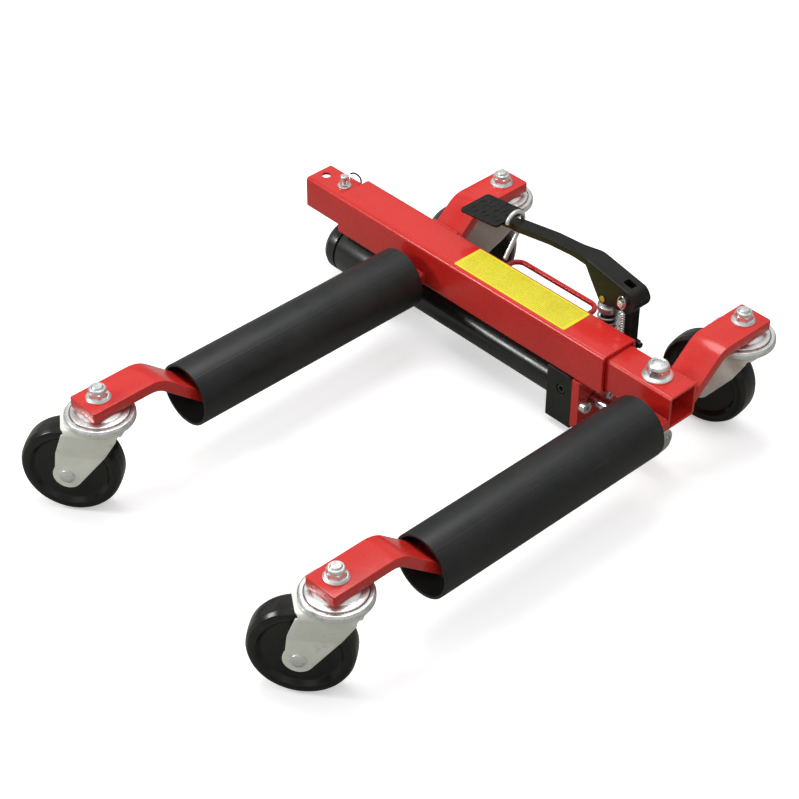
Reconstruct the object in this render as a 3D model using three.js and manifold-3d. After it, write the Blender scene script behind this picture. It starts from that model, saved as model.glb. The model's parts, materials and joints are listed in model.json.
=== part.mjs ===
// Hydraulic wheel dolly: a telescoping square-tube beam with two idle rollers that grip a tyre,
// four swivel castors on bent flat bars, and a foot-pumped pull ram slung under the beam.
// Millimetres, +Z up. Layout frame: X runs along the beam from the outer tube's left end,
// Y runs across it with the rollers on the -Y side, Z is height above the floor.
import * as THREE from 'three';
import { mergeVertices } from 'three/addons/utils/BufferGeometryUtils.js';
import Module from 'manifold-3d';

const wasm = await Module();
wasm.setup();

// ---------- driving dimensions ----------
const FOOTPRINT = { x: 226.7, y: -181.8 };

const BEAM = { z: 100, outer: 50, outerWall: 4, outerLength: 407, inner: 40, innerWall: 3 };
const INNER_LEFT = -58.5;
const INNER_RIGHT = 494.5;
const LEFT_ARM_X = 123;
const RIGHT_ARM_X = 474.5;

const BAR = { width: 40, thick: 12, topZ: 141, frontEnd: -472.5, rearEnd: 134, bend: 12, corner: 2.5 };
const KING_PIN_HOLE_R = 6.4;
const FRONT_BEND = { highY: -390.5, lowY: -332.5 };
const REAR_BEND_Y = 61;
const REAR_SLOPE = 0.84;

const ROLLER = { r: 35, wall: 3, z: 86, front: -347, rear: -42 };
const BUSH = { bore: 21.6, length: 16, inset: 28, fit: 0.15 };

const CASTOR = { frontY: -452, rearY: 113, wheelR: 52.5, wheelWidth: 31, trail: 33, axleR: 6, hubHalf: 19 };
const TRAIL_ANGLE = { left_front: 217, right_front: 218.8, left_rear: 216, right_rear: 188 };

const RAM = { z: 42, rodR: 8, barrelR: 20, bore: 16, tankR: 30.5 };
const TANK = { left: -22, capEnd: -3, right: 90 };
const BLOCK = { left: 331, right: 367, front: -25, rear: 64, bottom: 8, top: 75 };
const BRACKET = { left: 367, right: 377, rear: 60, bottom: 12, rearTop: 92.5 };
const PUMP = { x: 348.5, y: 47, bossTop: 92, capBottom: 120, capTop: 129.5, capR: 12.2 };
const PIVOT = { x: 379, y: 47, z: 152 };
const LEVER = { near: 34, far: 60, armNear: 38.5, armFar: 55.5, skin: 3 };
const POST_SCREW = { y: 56.5, z: 88.5, headR: 3.5 };
const PAD = { length: 57, width: 43.5, thick: 4.5, tilt: 0.1, x: 171.7, y: 48.5, z: 156.2 };
const PRESS_PIN = { x: 350, z: 140.5, r: 4 };
const HOOK = { x: 208, y: 47, z: 160.5, bend: 12.5, wire: 2.6 };
const LOCK_PIN_X = [-15.4, -46.2];
const PIN_HOLE_R = 5.3;
const HANDLE = { left: 201, right: 322, reach: 60, bend: 12, wire: 3 };
const LABEL = { left: 183, right: 346.5, front: -20, rear: 20.3, thick: 0.4 };
const VALVE = { x: 351.5, z: 53, r: 5.6, pocketR: 6.4, socketR: 3.1, length: 6 };
const BRACKET_BOLT = { y: 18, shankR: 4, holeR: 4.2, grip: 28, headR: 6.5, headHeight: 8 };
const STEM_TOP = 155.6;
const SPRING_Y = 30.5; // plane of the return spring
const CLAMP_HOLE_R = 8.5;
const CLAMP_X = 459;
const LUG = { left: 446, right: 470, halfWidth: 16, bottom: 24 };
const SEG = 16; // facets round a full turn, unless a piece needs more

// ---------- solids ----------
function solid(geometry) {
  const g = geometry.index ? geometry.toNonIndexed() : geometry.clone();
  g.deleteAttribute('normal');
  g.deleteAttribute('uv');
  const merged = mergeVertices(g, 1e-4);
  const tri = [];
  const index = merged.index.array;
  for (let i = 0; i < index.length; i += 3) {
    const [a, b, c] = [index[i], index[i + 1], index[i + 2]];
    if (a !== b && b !== c && c !== a) tri.push(a, b, c);
  }
  const p = merged.attributes.position.array;
  if (signedVolume(p, tri) < 0) {
    for (let i = 0; i < tri.length; i += 3) [tri[i + 1], tri[i + 2]] = [tri[i + 2], tri[i + 1]];
  }
  const mesh = new wasm.Mesh({
    numProp: 3,
    vertProperties: Float32Array.from(p),
    triVerts: Uint32Array.from(tri),
  });
  return new wasm.Manifold(mesh);
}

function signedVolume(p, tri) {
  let sum = 0;
  for (let i = 0; i < tri.length; i += 3) {
    const [a, b, c] = [tri[i] * 3, tri[i + 1] * 3, tri[i + 2] * 3];
    sum += p[a] * (p[b + 1] * p[c + 2] - p[b + 2] * p[c + 1])
      - p[a + 1] * (p[b] * p[c + 2] - p[b + 2] * p[c])
      + p[a + 2] * (p[b] * p[c + 1] - p[b + 1] * p[c]);
  }
  return sum;
}

function toGeometry(manifold) {
  const mesh = manifold.getMesh();
  const g = new THREE.BufferGeometry();
  g.setAttribute('position', new THREE.BufferAttribute(Float32Array.from(mesh.vertProperties), 3));
  g.setIndex(new THREE.BufferAttribute(Uint32Array.from(mesh.triVerts), 1));
  g.computeVertexNormals();
  return g;
}

function join(...parts) {
  return parts.reduce((a, b) => a.add(b));
}

function cut(body, ...tools) {
  return tools.reduce((a, b) => a.subtract(b), body);
}

function block(x0, x1, y0, y1, z0, z1) {
  const g = new THREE.BoxGeometry(x1 - x0, y1 - y0, z1 - z0);
  g.translate((x0 + x1) / 2, (y0 + y1) / 2, (z0 + z1) / 2);
  return solid(g);
}

// A round bar from one end to the other along 'x', 'y' or 'z', through the point (a, b)
// of the two other axes taken in x, y, z order.
function rod(axis, r, from, to, a, b, segments = SEG) {
  const g = new THREE.CylinderGeometry(r, r, to - from, segments);
  const mid = (from + to) / 2;
  if (axis === 'x') {
    g.rotateZ(-Math.PI / 2);
    g.translate(mid, a, b);
  } else if (axis === 'y') {
    g.translate(a, mid, b);
  } else {
    g.rotateX(Math.PI / 2);
    g.translate(a, b, mid);
  }
  return solid(g);
}

// A turned piece about Z. The profile is a list of [radius, height] pairs.
function turned(profile, segments = SEG) {
  const g = new THREE.LatheGeometry(profile.map(([r, h]) => new THREE.Vector2(r, h)), segments);
  g.rotateX(Math.PI / 2);
  return g;
}

function hexPrism(acrossFlats, z0, z1) {
  const g = new THREE.CylinderGeometry(acrossFlats / Math.sqrt(3), acrossFlats / Math.sqrt(3), z1 - z0, 6);
  g.rotateX(Math.PI / 2);
  g.translate(0, 0, (z0 + z1) / 2);
  return g;
}

function roundedSquare(path, half, radius) {
  path.moveTo(-half + radius, -half);
  path.lineTo(half - radius, -half);
  path.absarc(half - radius, -half + radius, radius, -Math.PI / 2, 0);
  path.lineTo(half, half - radius);
  path.absarc(half - radius, half - radius, radius, 0, Math.PI / 2);
  path.lineTo(-half + radius, half);
  path.absarc(-half + radius, half - radius, radius, Math.PI / 2, Math.PI);
  path.lineTo(-half, -half + radius);
  path.absarc(-half + radius, -half + radius, radius, Math.PI, 1.5 * Math.PI);
  return path;
}

function squareTube(size, wall, radius, x0, x1) {
  const shape = roundedSquare(new THREE.Shape(), size / 2, radius);
  shape.holes.push(roundedSquare(new THREE.Path(), size / 2 - wall, Math.max(radius - wall, 0.8)));
  const g = new THREE.ExtrudeGeometry(shape, { depth: x1 - x0, bevelEnabled: false, curveSegments: 3 });
  g.rotateY(Math.PI / 2);
  g.translate(x0, 0, BEAM.z);
  return solid(g);
}

// Extrudes an outline drawn in the X-Z plane from y0 to y1.
function slabXZ(shape, y0, y1, curveSegments = 6) {
  const g = new THREE.ExtrudeGeometry(shape, { depth: y1 - y0, bevelEnabled: false, curveSegments });
  g.rotateX(Math.PI / 2);
  g.translate(0, y1, 0);
  return solid(g);
}

// Extrudes an outline drawn in the Y-Z plane from x0 to x1.
function slabYZ(shape, x0, x1, curveSegments = 6) {
  const g = new THREE.ExtrudeGeometry(shape, { depth: x1 - x0, bevelEnabled: false, curveSegments });
  g.rotateY(Math.PI / 2);
  g.rotateX(Math.PI / 2);
  g.translate(x0, 0, 0);
  return solid(g);
}

// A round wire along a smooth path through the points given.
function wire(points, r, steps, sides = 8) {
  const curve = new THREE.CatmullRomCurve3(points.map((p) => new THREE.Vector3(...p)), false, 'centripetal');
  const ring = new THREE.Shape();
  ring.absarc(0, 0, r, 0, 2 * Math.PI);
  const g = new THREE.ExtrudeGeometry(ring, {
    steps,
    extrudePath: curve,
    bevelEnabled: false,
    curveSegments: sides / 2,
  });
  return solid(g);
}

// ---------- frame ----------
// Outline of a flat bar bent along a centre line of [y, z] points, with filleted bends.
function bentBarShape(line, thick, bendRadius) {
  const left = [];
  const right = [];
  const dirs = [];
  for (let i = 0; i + 1 < line.length; i += 1) {
    dirs.push(new THREE.Vector2(line[i + 1][0] - line[i][0], line[i + 1][1] - line[i][1]).normalize());
  }
  const push = (p, d) => {
    left.push(new THREE.Vector2(p.x - (d.y * thick) / 2, p.y + (d.x * thick) / 2));
    right.push(new THREE.Vector2(p.x + (d.y * thick) / 2, p.y - (d.x * thick) / 2));
  };
  push(new THREE.Vector2(...line[0]), dirs[0]);
  for (let i = 1; i + 1 < line.length; i += 1) {
    const [d0, d1] = [dirs[i - 1], dirs[i]];
    const turn = Math.atan2(d0.x * d1.y - d0.y * d1.x, d0.dot(d1));
    const reach = bendRadius * Math.tan(Math.abs(turn) / 2);
    const start = new THREE.Vector2(...line[i]).addScaledVector(d0, -reach);
    const side = Math.sign(turn);
    const centre = new THREE.Vector2(start.x - d0.y * side * bendRadius, start.y + d0.x * side * bendRadius);
    const steps = 5;
    for (let k = 0; k <= steps; k += 1) {
      const a = (turn * k) / steps;
      const d = d0.clone().rotateAround(new THREE.Vector2(), a);
      push(new THREE.Vector2(centre.x + d.y * side * bendRadius, centre.y - d.x * side * bendRadius), d);
    }
  }
  push(new THREE.Vector2(...line[line.length - 1]), dirs[dirs.length - 1]);
  return new THREE.Shape([...left, ...right.reverse()]);
}

function barCorners(x, yEnd, towards) {
  // Rounds the two free corners of a bar in plan.
  const r = BAR.corner;
  const w = BAR.width / 2;
  const keep = new THREE.Shape();
  const far = yEnd + towards * 600;
  keep.moveTo(x - w - 1, far);
  keep.lineTo(x - w - 1, yEnd + towards * r);
  keep.lineTo(x - w, yEnd + towards * r);
  keep.absarc(x - w + r, yEnd + towards * r, r, Math.PI, Math.PI + towards * (Math.PI / 2), towards < 0);
  keep.absarc(x + w - r, yEnd + towards * r, r, -towards * (Math.PI / 2), 0, towards < 0);
  keep.lineTo(x + w + 1, yEnd + towards * r);
  keep.lineTo(x + w + 1, far);
  const g = new THREE.ExtrudeGeometry(keep, { depth: 200, bevelEnabled: false, curveSegments: 4 });
  return solid(g);
}

function frontArm(x, beamFace) {
  const z = BAR.topZ - BAR.thick / 2;
  const line = [[BAR.frontEnd, z], [FRONT_BEND.highY, z], [FRONT_BEND.lowY, ROLLER.z], [beamFace, ROLLER.z]];
  const half = BAR.width / 2;
  const bar = slabYZ(bentBarShape(line, BAR.thick, BAR.bend), x - half, x + half);
  return cut(
    bar.intersect(barCorners(x, BAR.frontEnd, 1)),
    rod('z', KING_PIN_HOLE_R, 100, 160, x, CASTOR.frontY),
  );
}

function rearArm(x, beamFace) {
  const z = BAR.topZ - BAR.thick / 2;
  const run = REAR_BEND_Y - beamFace + 12;
  const line = [[beamFace - 12, z - run * REAR_SLOPE], [REAR_BEND_Y, z], [BAR.rearEnd, z]];
  const half = BAR.width / 2;
  const bar = slabYZ(bentBarShape(line, BAR.thick, BAR.bend), x - half, x + half);
  return cut(
    bar.intersect(barCorners(x, BAR.rearEnd, -1)),
    block(x - half - 1, x + half + 1, beamFace - 60, beamFace, 0, 200),
    rod('z', KING_PIN_HOLE_R, 100, 160, x, CASTOR.rearY),
  );
}

function outerTube() {
  return squareTube(BEAM.outer, BEAM.outerWall, 5, 0, BEAM.outerLength);
}

function innerTube() {
  const top = BEAM.z + BEAM.inner;
  const bottom = BEAM.z - BEAM.inner;
  return cut(
    squareTube(BEAM.inner, BEAM.innerWall, 4, INNER_LEFT, INNER_RIGHT),
    ...LOCK_PIN_X.map((x) => rod('z', PIN_HOLE_R, bottom, top, x, 0, 12)),
    rod('z', CLAMP_HOLE_R, bottom, top, CLAMP_X, 0, 16),
  );
}

function handleLoop() {
  const { left: x0, right: x1, reach: y, bend: r } = HANDLE;
  const face = BEAM.outer / 2;
  const points = [
    [x0, face, BEAM.z], [x0, y - r, BEAM.z], [x0 + r * 0.29, y - r * 0.29, BEAM.z], [x0 + r, y, BEAM.z],
    [x1 - r, y, BEAM.z], [x1 - r * 0.29, y - r * 0.29, BEAM.z], [x1, y - r, BEAM.z], [x1, face, BEAM.z],
  ];
  return wire(points, HANDLE.wire, 26, 8);
}

function label() {
  const top = BEAM.z + BEAM.outer / 2;
  return block(LABEL.left, LABEL.right, LABEL.front, LABEL.rear, top, top + LABEL.thick);
}

// ---------- rollers ----------
function rollerTube(x) {
  return cut(
    rod('y', ROLLER.r, ROLLER.front, ROLLER.rear, x, ROLLER.z, 40),
    rod('y', ROLLER.r - ROLLER.wall, ROLLER.front - 1, ROLLER.rear + 1, x, ROLLER.z, 40),
  );
}

function bush(x, y0, y1) {
  return cut(
    rod('y', ROLLER.r - ROLLER.wall - BUSH.fit, y0, y1, x, ROLLER.z, 40),
    rod('y', BUSH.bore, y0 - 1, y1 + 1, x, ROLLER.z, 24),
  );
}

function frontBush(x) {
  const y0 = ROLLER.front + BUSH.inset;
  return bush(x, y0, y0 + BUSH.length);
}

function rearBush(x) {
  return bush(x, ROLLER.rear - BUSH.length, ROLLER.rear);
}

// ---------- castors (local frame: king pin on Z, wheel trails along +X) ----------
const RACE = { plateR: 30, plateZ: 119, barZ: BAR.topZ - BAR.thick };
const CROWN = { z0: 112.5, z1: 115.5, noseX: -31, tailX: 38.5, tailCentreX: 41.7, ringR: 36.2, ringTop: 124 };
const LEG = { inner: 20, thick: 2.6, lobe: 15.2, neckX: 44.8, neckZ: 67 };

function castorStem() {
  const z = RACE.barZ;
  const r = CASTOR.axleR;
  return solid(turned([
    [0, RACE.plateZ], [24, RACE.plateZ], [RACE.plateR, RACE.plateZ + 4], [RACE.plateR, RACE.plateZ + 6.5],
    [18, z], [r, z], [r, STEM_TOP - 1], [r - 1, STEM_TOP], [0, STEM_TOP],
  ]));
}

function lockNut() {
  const z = BAR.topZ;
  const body = join(
    solid(turned([[0, z], [12.8, z], [12.8, z + 1.4], [10.6, z + 3], [0, z + 3]], 16)),
    solid(hexPrism(18, z + 2.5, z + 9)),
    solid(turned([[0, z + 8], [8.8, z + 8], [8.8, z + 11], [7.6, z + 12.6], [0, z + 12.6]], 16)),
  );
  return cut(body, rod('z', CASTOR.axleR + 0.15, z - 1, z + 20, 0, 0));
}

function legShape() {
  const [ax, az, r] = [CASTOR.trail, CASTOR.wheelR, LEG.lobe];
  const lead = Math.PI * 1.2;
  const s = new THREE.Shape();
  s.moveTo(CROWN.noseX, CROWN.z1 - 1);
  s.lineTo(CROWN.noseX, CROWN.z1 - 4);
  s.lineTo(ax + r * Math.cos(lead), az + r * Math.sin(lead));
  s.absarc(ax, az, r, lead, Math.PI * 2.2);
  s.lineTo(LEG.neckX, LEG.neckZ);
  s.lineTo(CROWN.tailX, CROWN.z1 - 1);
  return s;
}

// The crown plate seen from above, with its tail edge bowed outwards.
function crownPlate(halfWidth) {
  const s = new THREE.Shape();
  s.moveTo(CROWN.noseX, -halfWidth);
  s.lineTo(CROWN.tailX, -halfWidth);
  s.quadraticCurveTo(2 * CROWN.tailCentreX - CROWN.tailX, 0, CROWN.tailX, halfWidth);
  s.lineTo(CROWN.noseX, halfWidth);
  const depth = CROWN.z1 - CROWN.z0;
  const g = new THREE.ExtrudeGeometry(s, { depth, bevelEnabled: false, curveSegments: 6 });
  g.translate(0, 0, CROWN.z0);
  return solid(g);
}

function fork() {
  const leg = legShape();
  const [a, b] = [LEG.inner, LEG.inner + LEG.thick];
  const { z1, ringR: r, ringTop: top } = CROWN;
  const ring = turned([
    [0, z1 - 1], [r - 3, z1 - 1], [r, z1 + 2], [r, top - 1.5], [r - 1.5, top],
    [31.5, top], [26, z1 + 2.5], [0, z1 + 2.5],
  ], 24);
  return cut(
    join(slabXZ(leg, a, b), slabXZ(leg, -b, -a), crownPlate(b), solid(ring)),
    rod('y', CASTOR.axleR + 0.15, -30, 30, CASTOR.trail, CASTOR.wheelR, 12),
  );
}

function axle() {
  const end = LEG.inner + LEG.thick;
  const r = CASTOR.axleR;
  const g = turned([
    [0, -end - 5.5], [r - 1, -end - 5.5], [8.8, -end - 4.6], [8.8, -end - 0.2], [r, -end - 0.2],
    [r, end + 0.2], [7.6, end + 0.2], [7.2, end + 1.8], [5, end + 2.9], [0, end + 3.3],
  ], 12);
  g.rotateX(-Math.PI / 2);
  g.translate(CASTOR.trail, 0, CASTOR.wheelR);
  return solid(g);
}

function wheel() {
  const h = CASTOR.wheelWidth / 2;
  const R = CASTOR.wheelR;
  const bore = CASTOR.axleR + 0.5;
  const hub = CASTOR.hubHalf;
  const dish = h - 5;
  const face = [[bore, hub], [13, hub], [15, dish], [R - 14, dish], [R - 9, h], [R - 4, h], [R, h - 5]];
  const profile = [...face, ...[...face].reverse().map(([r, y]) => [r, -y]), face[0]];
  const g = turned(profile, 24);
  g.rotateX(-Math.PI / 2);
  g.translate(CASTOR.trail, 0, R);
  return solid(g);
}

// ---------- ram and pump ----------
function reservoir() {
  return join(
    rod('x', RAM.tankR, TANK.capEnd + 2.5, TANK.right, 0, RAM.z, 36),
    rod('x', RAM.tankR - 3, TANK.capEnd, TANK.capEnd + 3, 0, RAM.z, 36),
  );
}

function reservoirCap() {
  const g = turned([
    [0, 0], [RAM.tankR - 9, 0], [RAM.tankR - 3, 2.5], [RAM.tankR, 8], [RAM.tankR, TANK.capEnd - TANK.left],
    [0, TANK.capEnd - TANK.left],
  ], 36);
  g.rotateY(Math.PI / 2);
  g.translate(TANK.left, 0, RAM.z);
  return solid(g);
}

function ramCylinder() {
  return cut(
    rod('x', RAM.barrelR, TANK.right, BLOCK.left, 0, RAM.z, 32),
    rod('x', RAM.bore, TANK.right + 12, BLOCK.left + 1, 0, RAM.z, 32),
  );
}

function pumpBlock() {
  const b = BLOCK;
  return cut(
    join(
      block(b.left, b.right, b.front, b.rear, b.bottom, b.top),
      rod('z', 13, b.top - 1, PUMP.bossTop, PUMP.x, PUMP.y),
    ),
    rod('x', RAM.rodR + 0.6, b.left - 1, b.right + 1, 0, RAM.z, 24),
    rod('z', 6, b.top - 20, PUMP.bossTop + 1, PUMP.x, PUMP.y),
    rod('y', VALVE.pocketR, b.front - 1, b.front + VALVE.length + 1, VALVE.x, VALVE.z, 24),
    ...[-BRACKET_BOLT.y, BRACKET_BOLT.y].map((y) => (
      rod('x', BRACKET_BOLT.holeR, b.right - 20, b.right + 1, y, RAM.z, 16)
    )),
  );
}

function releaseValve() {
  const { x, z, r, socketR, length } = VALVE;
  const face = BLOCK.front + 0.6;
  const socket = new THREE.CylinderGeometry(socketR, socketR, length, 6);
  socket.translate(x, face, z);
  return cut(rod('y', r, face, face + length, x, z, 24), solid(socket));
}

function ramBracket() {
  const b = BRACKET;
  const back = BEAM.outer / 2 + 0.6;
  return cut(
    join(
      block(b.left, b.right, BLOCK.front, b.rear, b.bottom, BLOCK.top),
      block(b.left, b.right, back, b.rear, BLOCK.top - 5, b.rearTop),
    ),
    rod('x', RAM.rodR + 1.2, b.left - 1, b.right + 1, 0, RAM.z, 24),
    ...[-BRACKET_BOLT.y, BRACKET_BOLT.y].map((y) => (
      rod('x', BRACKET_BOLT.holeR, b.left - 1, b.right + 1, y, RAM.z, 16)
    )),
  );
}

function bracketBolt(y) {
  const head = BRACKET.right;
  const { shankR: s, grip, headR: r, headHeight } = BRACKET_BOLT;
  const end = grip + headHeight;
  const g = turned([[0, 0], [s, 0], [s, grip], [r, grip], [r, end - 1], [r - 1, end], [0, end]], 16);
  g.rotateY(Math.PI / 2);
  g.translate(head - grip, y, RAM.z);
  return cut(solid(g), rod('x', r / 2.2, head + headHeight - 3, head + headHeight + 1, y, RAM.z, 6));
}

function ramRod() {
  return join(
    rod('x', RAM.rodR, 290, 479, 0, RAM.z, 24),
    rod('x', RAM.bore - 0.4, 284, 300, 0, RAM.z, 32),
  );
}

function ramLug() {
  const l = LUG;
  return cut(
    block(l.left, l.right, -l.halfWidth, l.halfWidth, l.bottom, BEAM.z - BEAM.inner / 2),
    rod('x', RAM.rodR + 0.4, l.left - 1, l.right + 1, 0, RAM.z, 24),
    rod('z', 8.4, 56, 90, CLAMP_X, 0, 20),
  );
}

function ramRodNut() {
  const g = turned([[8.2, 0], [13.8, 0], [13.8, 4.6], [12.6, 5.6], [8.2, 5.6], [8.2, 0]], 24);
  g.rotateY(Math.PI / 2);
  g.translate(LUG.right, 0, RAM.z);
  return solid(g);
}

function clampBolt() {
  const z = BEAM.z + BEAM.inner / 2;
  const g = join(
    rod('z', 8, 57, z + 2, 0, 0, 20),
    solid(turned([[0, z], [16.2, z], [16.2, z + 1.6], [13.5, z + 3.6], [0, z + 3.6]], 20)),
    solid(hexPrism(22, z + 3, z + 11)),
    solid(turned([[0, z + 10], [12, z + 10], [12, z + 13.5], [10, z + 16.4], [0, z + 17.9]], 20)),
  );
  return g.translate([CLAMP_X, 0, 0]);
}

function fulcrumPost() {
  const x0 = BRACKET.right;
  const x1 = x0 + 8;
  return cut(
    join(
      block(x0, x1, 40, 54, 62, PIVOT.z),
      block(x0, x1, 27, BRACKET.rear, 84, BRACKET.rearTop),
      rod('y', 8, 40, 54, PIVOT.x, PIVOT.z),
    ),
    rod('y', 4.3, 30, 60, PIVOT.x, PIVOT.z),
    rod('x', 2.4, x0 - 1, x1 + 1, POST_SCREW.y, POST_SCREW.z, 10),
    rod('z', 1.6, 80, 100, x0 + 4, SPRING_Y, 8),
  );
}

function postScrew() {
  const x = BRACKET.right + 8;
  const { y, z, headR } = POST_SCREW;
  return join(rod('x', 2.2, x - 7.7, x + 1, y, z, 10), rod('x', headR, x, x + 4, y, z, 12));
}

function pivotPin() {
  return join(
    rod('y', 4, 27, 61, PIVOT.x, PIVOT.z),
    rod('y', 7, LEVER.far + 0.4, LEVER.far + 3.2, PIVOT.x, PIVOT.z),
  );
}

// A small close-coiled tension spring between the pivot pin's near end and the post's foot.
function returnSpring() {
  const [x, y] = [BRACKET.right + 4, SPRING_Y];
  const ring = new THREE.TorusGeometry(5.4, 0.8, 5, 12);
  ring.rotateX(Math.PI / 2);
  ring.translate(PIVOT.x, y, PIVOT.z);
  const profile = [[0, 104]];
  for (let k = 0; k < 6; k += 1) profile.push([2.2, 104.5 + k * 6], [3, 107.5 + k * 6]);
  profile.push([2.2, 140.5], [0, 141]);
  const coil = turned(profile, 8);
  coil.translate(x, y, 0);
  return join(
    solid(ring),
    solid(coil),
    rod('z', 0.8, 140, PIVOT.z - 5, x - 0.8, y, 8),
    rod('z', 0.8, 92, 105, x, y, 8),
  );
}

function pumpPlunger() {
  return join(
    rod('z', 5.4, 70, PUMP.capBottom, PUMP.x, PUMP.y),
    rod('z', 8.5, 104, PUMP.capBottom, PUMP.x, PUMP.y),
    rod('z', 4.6, PUMP.capBottom - 1, PRESS_PIN.z - PRESS_PIN.r - 0.3, PUMP.x, PUMP.y),
  );
}

function plungerCap() {
  const h = PUMP.capTop - PUMP.capBottom;
  const g = turned([
    [4.8, 0], [PUMP.capR, 0], [PUMP.capR, h - 2.5], [PUMP.capR - 2, h], [4.8, h], [4.8, 0],
  ], 24);
  g.translate(PUMP.x, PUMP.y, PUMP.capBottom + 0.1);
  return solid(g);
}

function plungerSpring() {
  const [turns, r] = [3, 11];
  const [z0, z1] = [PUMP.bossTop + 1.4, PUMP.capBottom - 1.4];
  const points = [];
  for (let i = 0; i <= turns * 12; i += 1) {
    const a = (i / 12) * 2 * Math.PI;
    points.push([PUMP.x + r * Math.cos(a), PUMP.y + r * Math.sin(a), z0 + ((z1 - z0) * i) / (turns * 12)]);
  }
  return wire(points, 1.2, turns * 14, 4);
}

// ---------- pedal ----------
const ARM_TOP = [[199, 161], [266, 172.3], [325, 177], [384.5, 164.6]];
const ARM_DEPTH = 7;

function leverSide() {
  const s = new THREE.Shape();
  ARM_TOP.forEach(([x, z], i) => (i ? s.lineTo(x, z) : s.moveTo(x, z)));
  s.absarc(PIVOT.x, PIVOT.z, 14, Math.PI * 0.37, -Math.PI * 0.5, true);
  s.lineTo(360, 136.5);
  s.absarc(PRESS_PIN.x, PRESS_PIN.z, 7, -Math.PI * 0.4, -Math.PI * 0.85, true);
  s.lineTo(323, ARM_TOP[2][1] - ARM_DEPTH);
  s.lineTo(ARM_TOP[1][0], ARM_TOP[1][1] - ARM_DEPTH);
  s.lineTo(ARM_TOP[0][0], ARM_TOP[0][1] - ARM_DEPTH);
  return s;
}

function leverCavity() {
  const s = new THREE.Shape();
  const t = LEVER.skin;
  s.moveTo(331, 120);
  s.lineTo(331, ARM_TOP[2][1] - t - 1.2);
  s.lineTo(PIVOT.x + 4, 164.6 - t);
  s.absarc(PIVOT.x, PIVOT.z, 11, Math.PI * 0.35, 0, true);
  s.lineTo(PIVOT.x + 11, 120);
  return s;
}

function leverPlan() {
  const s = new THREE.Shape();
  s.moveTo(190, LEVER.armNear);
  s.lineTo(298, LEVER.armNear);
  s.lineTo(330, LEVER.near);
  s.lineTo(400, LEVER.near);
  s.lineTo(400, LEVER.far);
  s.lineTo(330, LEVER.far);
  s.lineTo(298, LEVER.armFar);
  s.lineTo(190, LEVER.armFar);
  const g = new THREE.ExtrudeGeometry(s, { depth: 90, bevelEnabled: false });
  g.translate(0, 0, 110);
  return solid(g);
}

function pedalLever() {
  const pad = new THREE.BoxGeometry(PAD.length, PAD.width, PAD.thick);
  pad.rotateY(-PAD.tilt);
  pad.translate(PAD.x, PAD.y, PAD.z);
  return cut(
    join(
      slabXZ(leverSide(), LEVER.near, LEVER.far).intersect(leverPlan()),
      solid(pad),
    ),
    slabXZ(leverCavity(), LEVER.near + LEVER.skin, LEVER.far - LEVER.skin),
    rod('y', 4.3, 30, 64, PIVOT.x, PIVOT.z),
    rod('y', PRESS_PIN.r + 0.1, 30, 64, PRESS_PIN.x, PRESS_PIN.z),
    rod('z', 4, 150, 180, PIVOT.x - 3, PIVOT.y, 12),
  );
}

function pressPin() {
  return rod('y', PRESS_PIN.r, LEVER.near - 1.5, LEVER.far + 1.5, PRESS_PIN.x, PRESS_PIN.z, 16);
}

// A wire hook that wraps over the pedal arm and reaches down beside the beam.
function holdDownHook() {
  const { x, y, z, bend, wire: r } = HOOK;
  const points = [];
  const start = Math.PI * 1.02;
  const stop = -0.6;
  for (let k = 0; k <= 8; k += 1) {
    const a = start + ((stop - start) * k) / 8;
    points.push([x, y + bend * Math.cos(a), z + bend * Math.sin(a)]);
  }
  const down = [Math.sin(stop), -Math.cos(stop)];
  const last = points[points.length - 1];
  for (const s of [14, 28, 44]) points.push([x, last[1] + down[0] * s, last[2] + down[1] * s]);
  return wire(points, r, 26, 8);
}

// ---------- lock pin ----------
const PIN = { x: LOCK_PIN_X[0], top: BEAM.z + BEAM.inner / 2 };

function lockPin() {
  const z = PIN.top;
  const g = turned([
    [0, 77], [3.4, 77], [4.6, 80], [4.6, z], [7.8, z], [7.8, z + 1.6], [2.5, z + 1.6], [2.5, z + 7.6],
    [4.8, z + 7.6], [4.8, z + 13], [4, z + 14], [0, z + 14],
  ], 20);
  g.translate(PIN.x, 0, 0);
  return solid(g);
}

function lockPinRing() {
  const g = new THREE.TorusGeometry(6.5, 0.8, 6, 20);
  g.rotateX(Math.PI / 4);
  g.translate(PIN.x, 1, PIN.top + 7.4);
  return solid(g);
}

function lanyard() {
  const z = PIN.top;
  return wire([
    [PIN.x + 0.5, 9.4, z + 12.4], [PIN.x + 1, 13, z + 12], [PIN.x + 2.5, 18, z + 8], [PIN.x + 4, 21.6, z + 1],
    [PIN.x + 3, 21.8, z - 9], [PIN.x - 2, 21.4, z - 17], [PIN.x - 8, 21.2, z - 19],
  ], 1, 22, 6);
}

// ---------- assembly ----------
const RED = { color: 0xc4261f, roughness: 0.32, metalness: 0.1 };
const BLACK = { color: 0x17181a, roughness: 0.45, metalness: 0.2 };
const ROLLER_BLACK = { color: 0x2c2e2f, roughness: 0.55, metalness: 0.15 };
const WHEEL_BLACK = { color: 0x0c0c0d, roughness: 0.3, metalness: 0 };
const ZINC = { color: 0xc8c9c2, roughness: 0.35, metalness: 0.85 };
const STEEL = { color: 0xb9bbbd, roughness: 0.2, metalness: 1 };
const BRASS = { color: 0xb08d3c, roughness: 0.35, metalness: 0.9 };
const NYLON = { color: 0xd9d6cb, roughness: 0.6, metalness: 0 };
const YELLOW = { color: 0xf2e233, roughness: 0.5, metalness: 0 };

const dolly = new THREE.Group();
const layout = new THREE.Group();
layout.position.set(-FOOTPRINT.x, -FOOTPRINT.y, 0);
dolly.add(layout);

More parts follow.
